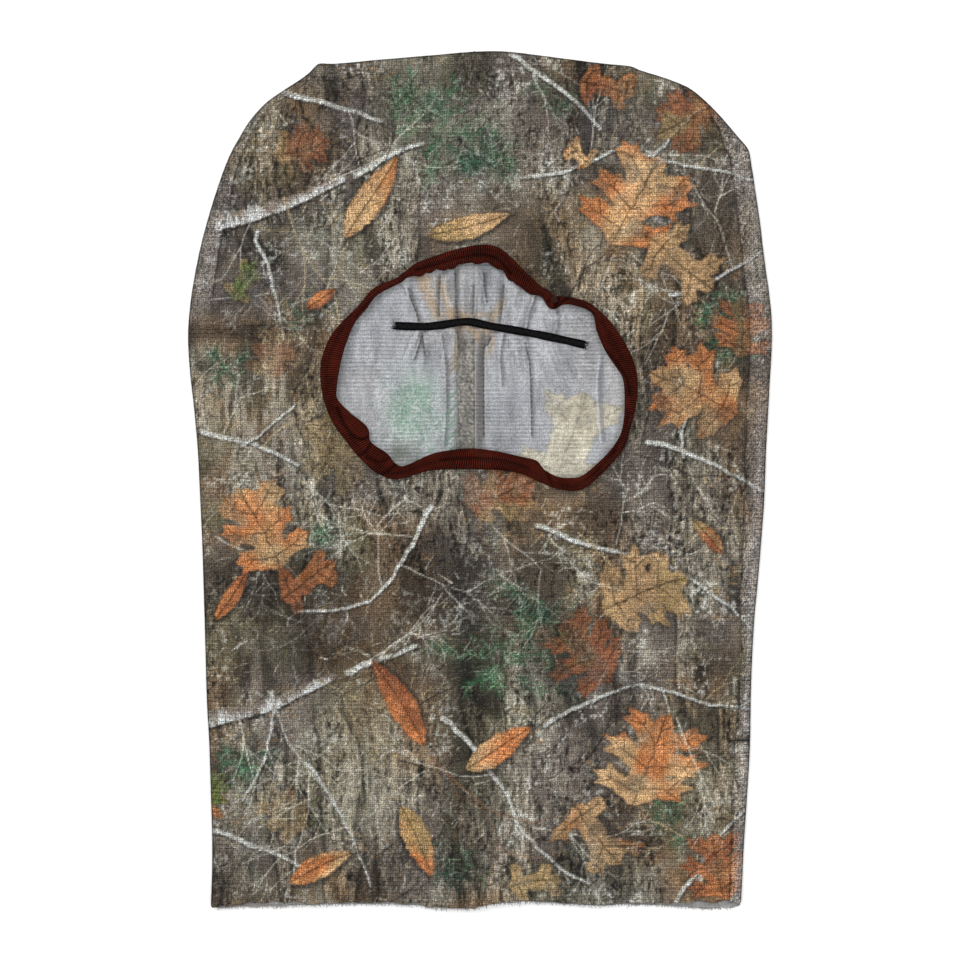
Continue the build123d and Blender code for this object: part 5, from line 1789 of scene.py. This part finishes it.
def elastic_stitches():
    """A zigzag of separate stitches over the elastic."""
    parts = []
    count, margin = 46, 2.0
    e = np.linspace(-1, 1, 7)
    for q in range(count):
        at = margin + (elastic_at[-1] - 2 * margin) * (q + 0.5) / count
        k = int(np.argmin(np.abs(elastic_at - at)))
        side = 1 if q % 2 else -1
        pts = (elastic_line[k] + np.outer(1.25 * e * side, elastic_side[k])
               + np.outer(0.9 * e, elastic_dir[k]))
        z = elastic_z[k] + 0.53 + 0.05 * (1 - e**2)
        parts.append(tube(np.column_stack([pts, z]), 0.11, 6))
    return threads("elastic_zigzag_thread", parts, MAT_BLACK)


# ------------------------------------------------------- seams and allowances
ALLOWANCE = 5.6          # width of the side allowance
fine_side = smooth(SIDE, 0.5)
fine_side = fine_side[fine_side[:, 1] > -225.6]


def edge_stitches():
    """Short dark stitches riding the fold round the very edge."""
    travelled = lengths(fine_side)
    line = inset(fine_side, 0.30)
    pitch = 2.4
    z = 0.95 + 0.10 * np.sin(np.linspace(0, math.pi, 5))
    parts = []
    for q in range(int(travelled[-1] / pitch)):
        at = np.linspace(q * pitch, q * pitch + pitch * 0.86, 5)
        parts.append(tube(np.column_stack([at_length(line, travelled, at), z]), 0.16, 4))
    return threads("edge_needle_thread", parts, MAT_DARK)


def overlock(name, line, swing, lift, radius):
    """A looping thread over a raw edge, lifted off the back cloth."""
    pitch, per_pitch = 2.4, 8
    travelled = lengths(line)
    at = np.linspace(0.0, travelled[-1], int(travelled[-1] / pitch * per_pitch))
    phase = at / pitch * TURN
    base = at_length(line, travelled, at)
    t = tangents(base)
    p = base - left_of(t) * (swing * np.cos(phase))[:, None]
    p = p + t * (0.25 * pitch * np.sin(2 * phase))[:, None]
    z = back_height(p[:, 0], p[:, 1]) + lift + 0.07 * np.sin(phase)
    return threads(name, [tube(np.column_stack([p, z]), radius, 4)], MAT_GREY)


def allowance_piece(name, line, near, far, lift, thickness, cols, shade):
    """A closed flat strip between two insets of a line."""
    plan = np.stack([inset(line, d) for d in np.linspace(near, far, cols)], 1).reshape(-1, 2)
    z = back_height(plan[:, 0], plan[:, 1]) + lift
    verts = np.vstack([np.column_stack([plan, z + thickness]), np.column_stack([plan, z])])
    n, m = len(line), len(plan)
    q = grid_quads(n, cols)
    a = np.arange(n - 1) * cols
    b = a + cols
    c, d = a + cols - 1, b + cols - 1
    k = np.arange(cols - 1)
    last = (n - 1) * cols + k
    quads = np.vstack([
        q[:, ::-1], q + m,
        np.stack([b, b + m, a + m, a], 1), np.stack([c + m, d + m, d, c], 1),
        np.stack([k + m, k + 1 + m, k + 1, k], 1),
        np.stack([last + 1, last + 1 + m, last + m, last], 1),
    ])
    obj = new_object(name, verts, quads, MAT_INSIDE)
    colour = pale.at(np.clip(verts[:, 0], -80, 80), verts[:, 1])
    print_on(obj, colour, np.full(len(verts), shade))
    return obj


def centre_allowance():
    """The centre-back allowance, pressed to the left."""
    y = np.unique(np.concatenate([
        np.arange(-223.5, -10, 2.0), np.arange(-10, 128, 0.6), np.arange(128, 214, 2.0)]))
    line = np.column_stack([SEAM_X - 0.35 + 0.175 * np.sin(y / 19.0), y])
    return allowance_piece("centre_allowance_cloth", line[::-1], near=0.2, far=9.4, lift=0.04,
                           thickness=0.42, cols=19, shade=1.0)


def centre_stitches():
    """Light stitches up the centre-back seam, broken at the elastic."""
    pitch, length = 2.2, 1.45
    e = np.linspace(0, length, 6)
    parts = []
    for q in range(int(436 / pitch)):
        start = -222.0 + q * pitch
        if 76.0 < start < 90.0:
            continue
        y = start + e
        x = SEAM_X + 0.55 + 0.12 * np.sin(y / 9.0)
        z = back_height(x, y) + 0.05 + 0.14 * np.sin(np.linspace(0, math.pi, 6))
        parts.append(tube(np.column_stack([x, y, z]), 0.17, 6))
    return threads("centre_needle_thread", parts, MAT_LIGHT)


def fringe(neck, height, name, seed):
    """Short loose yarn ends along the cut neck edge."""
    rng = np.random.default_rng(seed)
    e = np.linspace(-0.25, 1, 5)
    parts = []
    for q in smooth(neck, 0.8)[2:-2]:
        if rng.uniform() < 0.25:
            continue
        length = rng.uniform(0.5, 1.9) * (1.5 if rng.uniform() < 0.08 else 1)
        dx, dy = heading(-math.pi / 2 + rng.normal(0, 0.45))
        x = q[0] + rng.uniform(-0.4, 0.4) + length * e * dx + 0.25 * length * e**2 * rng.normal()
        y = q[1] + 0.15 + length * e * dy
        z = height(np.array([q[0]]), np.array([q[1] + 0.6]))[0] - 0.2
        z = z + rng.normal(0, 0.05) - 0.1 * np.maximum(e, 0)
        parts.append(tube(np.column_stack([x, y, z]), np.linspace(0.17, 0.08, 5), 4))
    obj = threads(name, parts, MAT_GREY)
    return obj


# ---------------------------------------------------------------- the pieces
front = front_piece()
back_left = back_piece("back_left_cloth", (-1e9, SEAM_X))
back_right = back_piece("back_right_cloth", (SEAM_X, 1e9))
binding, bind_mid, bind_at, bind_total, groove_path, bind_crest = binding_piece()
stitch = binding_stitches(groove_path, bind_at, bind_total)
tack = binding_tack(bind_mid, bind_crest)
elastic = elastic_piece()
elastic_stitch = elastic_stitches()
needle = edge_stitches()
side_lock = overlock("edge_overlock_thread", inset(fine_side, ALLOWANCE),
                     swing=1.3, lift=0.36, radius=0.10)
side_allow = allowance_piece("side_allowance_cloth", SIDE_LINE[SIDE_LINE[:, 1] > -224.5],
                             near=0.9, far=ALLOWANCE, lift=0.02, thickness=0.22, cols=6,
                             shade=0.9)
centre_allow = centre_allowance()
centre_raw = np.column_stack([np.full(900, SEAM_X - 9.6), np.linspace(-223.0, 213.0, 900)])
centre_lock = overlock("centre_overlock_thread", centre_raw, swing=1.2, lift=0.66, radius=0.12)
centre_needle = centre_stitches()
front_fringe = fringe(NECK_FRONT, front_height, "front_neck_edge_yarn", 401)
back_fringe = fringe(NECK_BACK, back_height, "back_neck_edge_yarn", 402)


def bow(obj):
    """Bakes an object's placement into its mesh and reads its points in mm."""
    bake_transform(obj)
    co = np.zeros(len(obj.data.vertices) * 3, np.float32)
    obj.data.vertices.foreach_get("co", co)
    co = co.reshape(-1, 3) / MM


for obj in (front, binding, stitch, tack, front_fringe):
    bow(obj)
for obj in (back_left, back_right, elastic, elastic_stitch, needle, side_lock,
            side_allow, centre_allow, centre_lock, centre_needle, back_fringe):
    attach(obj, "back")
for obj, cad_name in (
        (front, "front_panel"), (back_left, "back_panel_left"), (back_right, "back_panel_right"),
        (binding, "eye_opening_binding"), (stitch, "binding_stitching"),
        (tack, "binding_join_tack"), (elastic, "rear_elastic"),
        (elastic_stitch, "rear_elastic_stitching"), (needle, "perimeter_seam_needle_thread"),
        (side_lock, "perimeter_seam_overlock_thread"),
        (centre_needle, "centre_back_needle_thread"),
        (centre_lock, "centre_back_overlock_thread")):
    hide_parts(cad_name)


# --------------------------------------------------------------------- stage
# Lengths here are metres, but for VIEW_WIDTH and the camera's lens and sensor.
VIEW_WIDTH = 508.8   # what the camera takes in across, in mm
scene = bpy.context.scene


def floor_piece():
    bpy.ops.mesh.primitive_plane_add(size=6.0, location=(0, 0, -0.0006))
    floor = bpy.context.object
    floor.name = "floor"
    m = Material("pale_floor")
    m.set(Base_Color=(0.93, 0.93, 0.93, 1), Roughness=0.9, Specular_IOR_Level=0.1)
    floor.data.materials.append(m.mat)


def area_light(name, location, size, watts):
    """A square light aimed at the origin."""
    light = bpy.data.lights.new(name, "AREA")
    light.size = size
    light.energy = watts
    obj = bpy.data.objects.new(name, light)
    scene.collection.objects.link(obj)
    obj.location = location
    obj.rotation_euler = (-Vector(location)).to_track_quat("-Z", "Y").to_euler()


def surroundings():
    world = bpy.data.worlds.new("studio")
    scene.world = world
    world.use_nodes = True
    background = world.node_tree.nodes["Background"]
    background.inputs["Color"].default_value = (1, 1, 1, 1)
    background.inputs["Strength"].default_value = 0.62
    scene.view_settings.view_transform = "Standard"
    scene.view_settings.look = "None"
    scene.view_settings.exposure = 0.0


def camera():
    """Looks straight down from above the middle of the hood."""
    cam = bpy.data.cameras.new("camera")
    cam.lens = 100
    cam.sensor_width = 36
    cam.clip_end = 50
    obj = bpy.data.objects.new("camera", cam)
    scene.collection.objects.link(obj)
    cloth_top = 0.004
    obj.location = (0.0, 0.0, VIEW_WIDTH * MM / (36 / 100) + cloth_top)
    scene.camera = obj


floor_piece()
area_light("key", location=(-0.75, 0.85, 1.25), size=0.9, watts=15.0)
area_light("fill", location=(0.95, -0.5, 1.3), size=1.2, watts=9.0)
area_light("top", location=(0.0, 0.1, 2.4), size=2.2, watts=16.0)
surroundings()
camera()

bpy.context.view_layer.update()
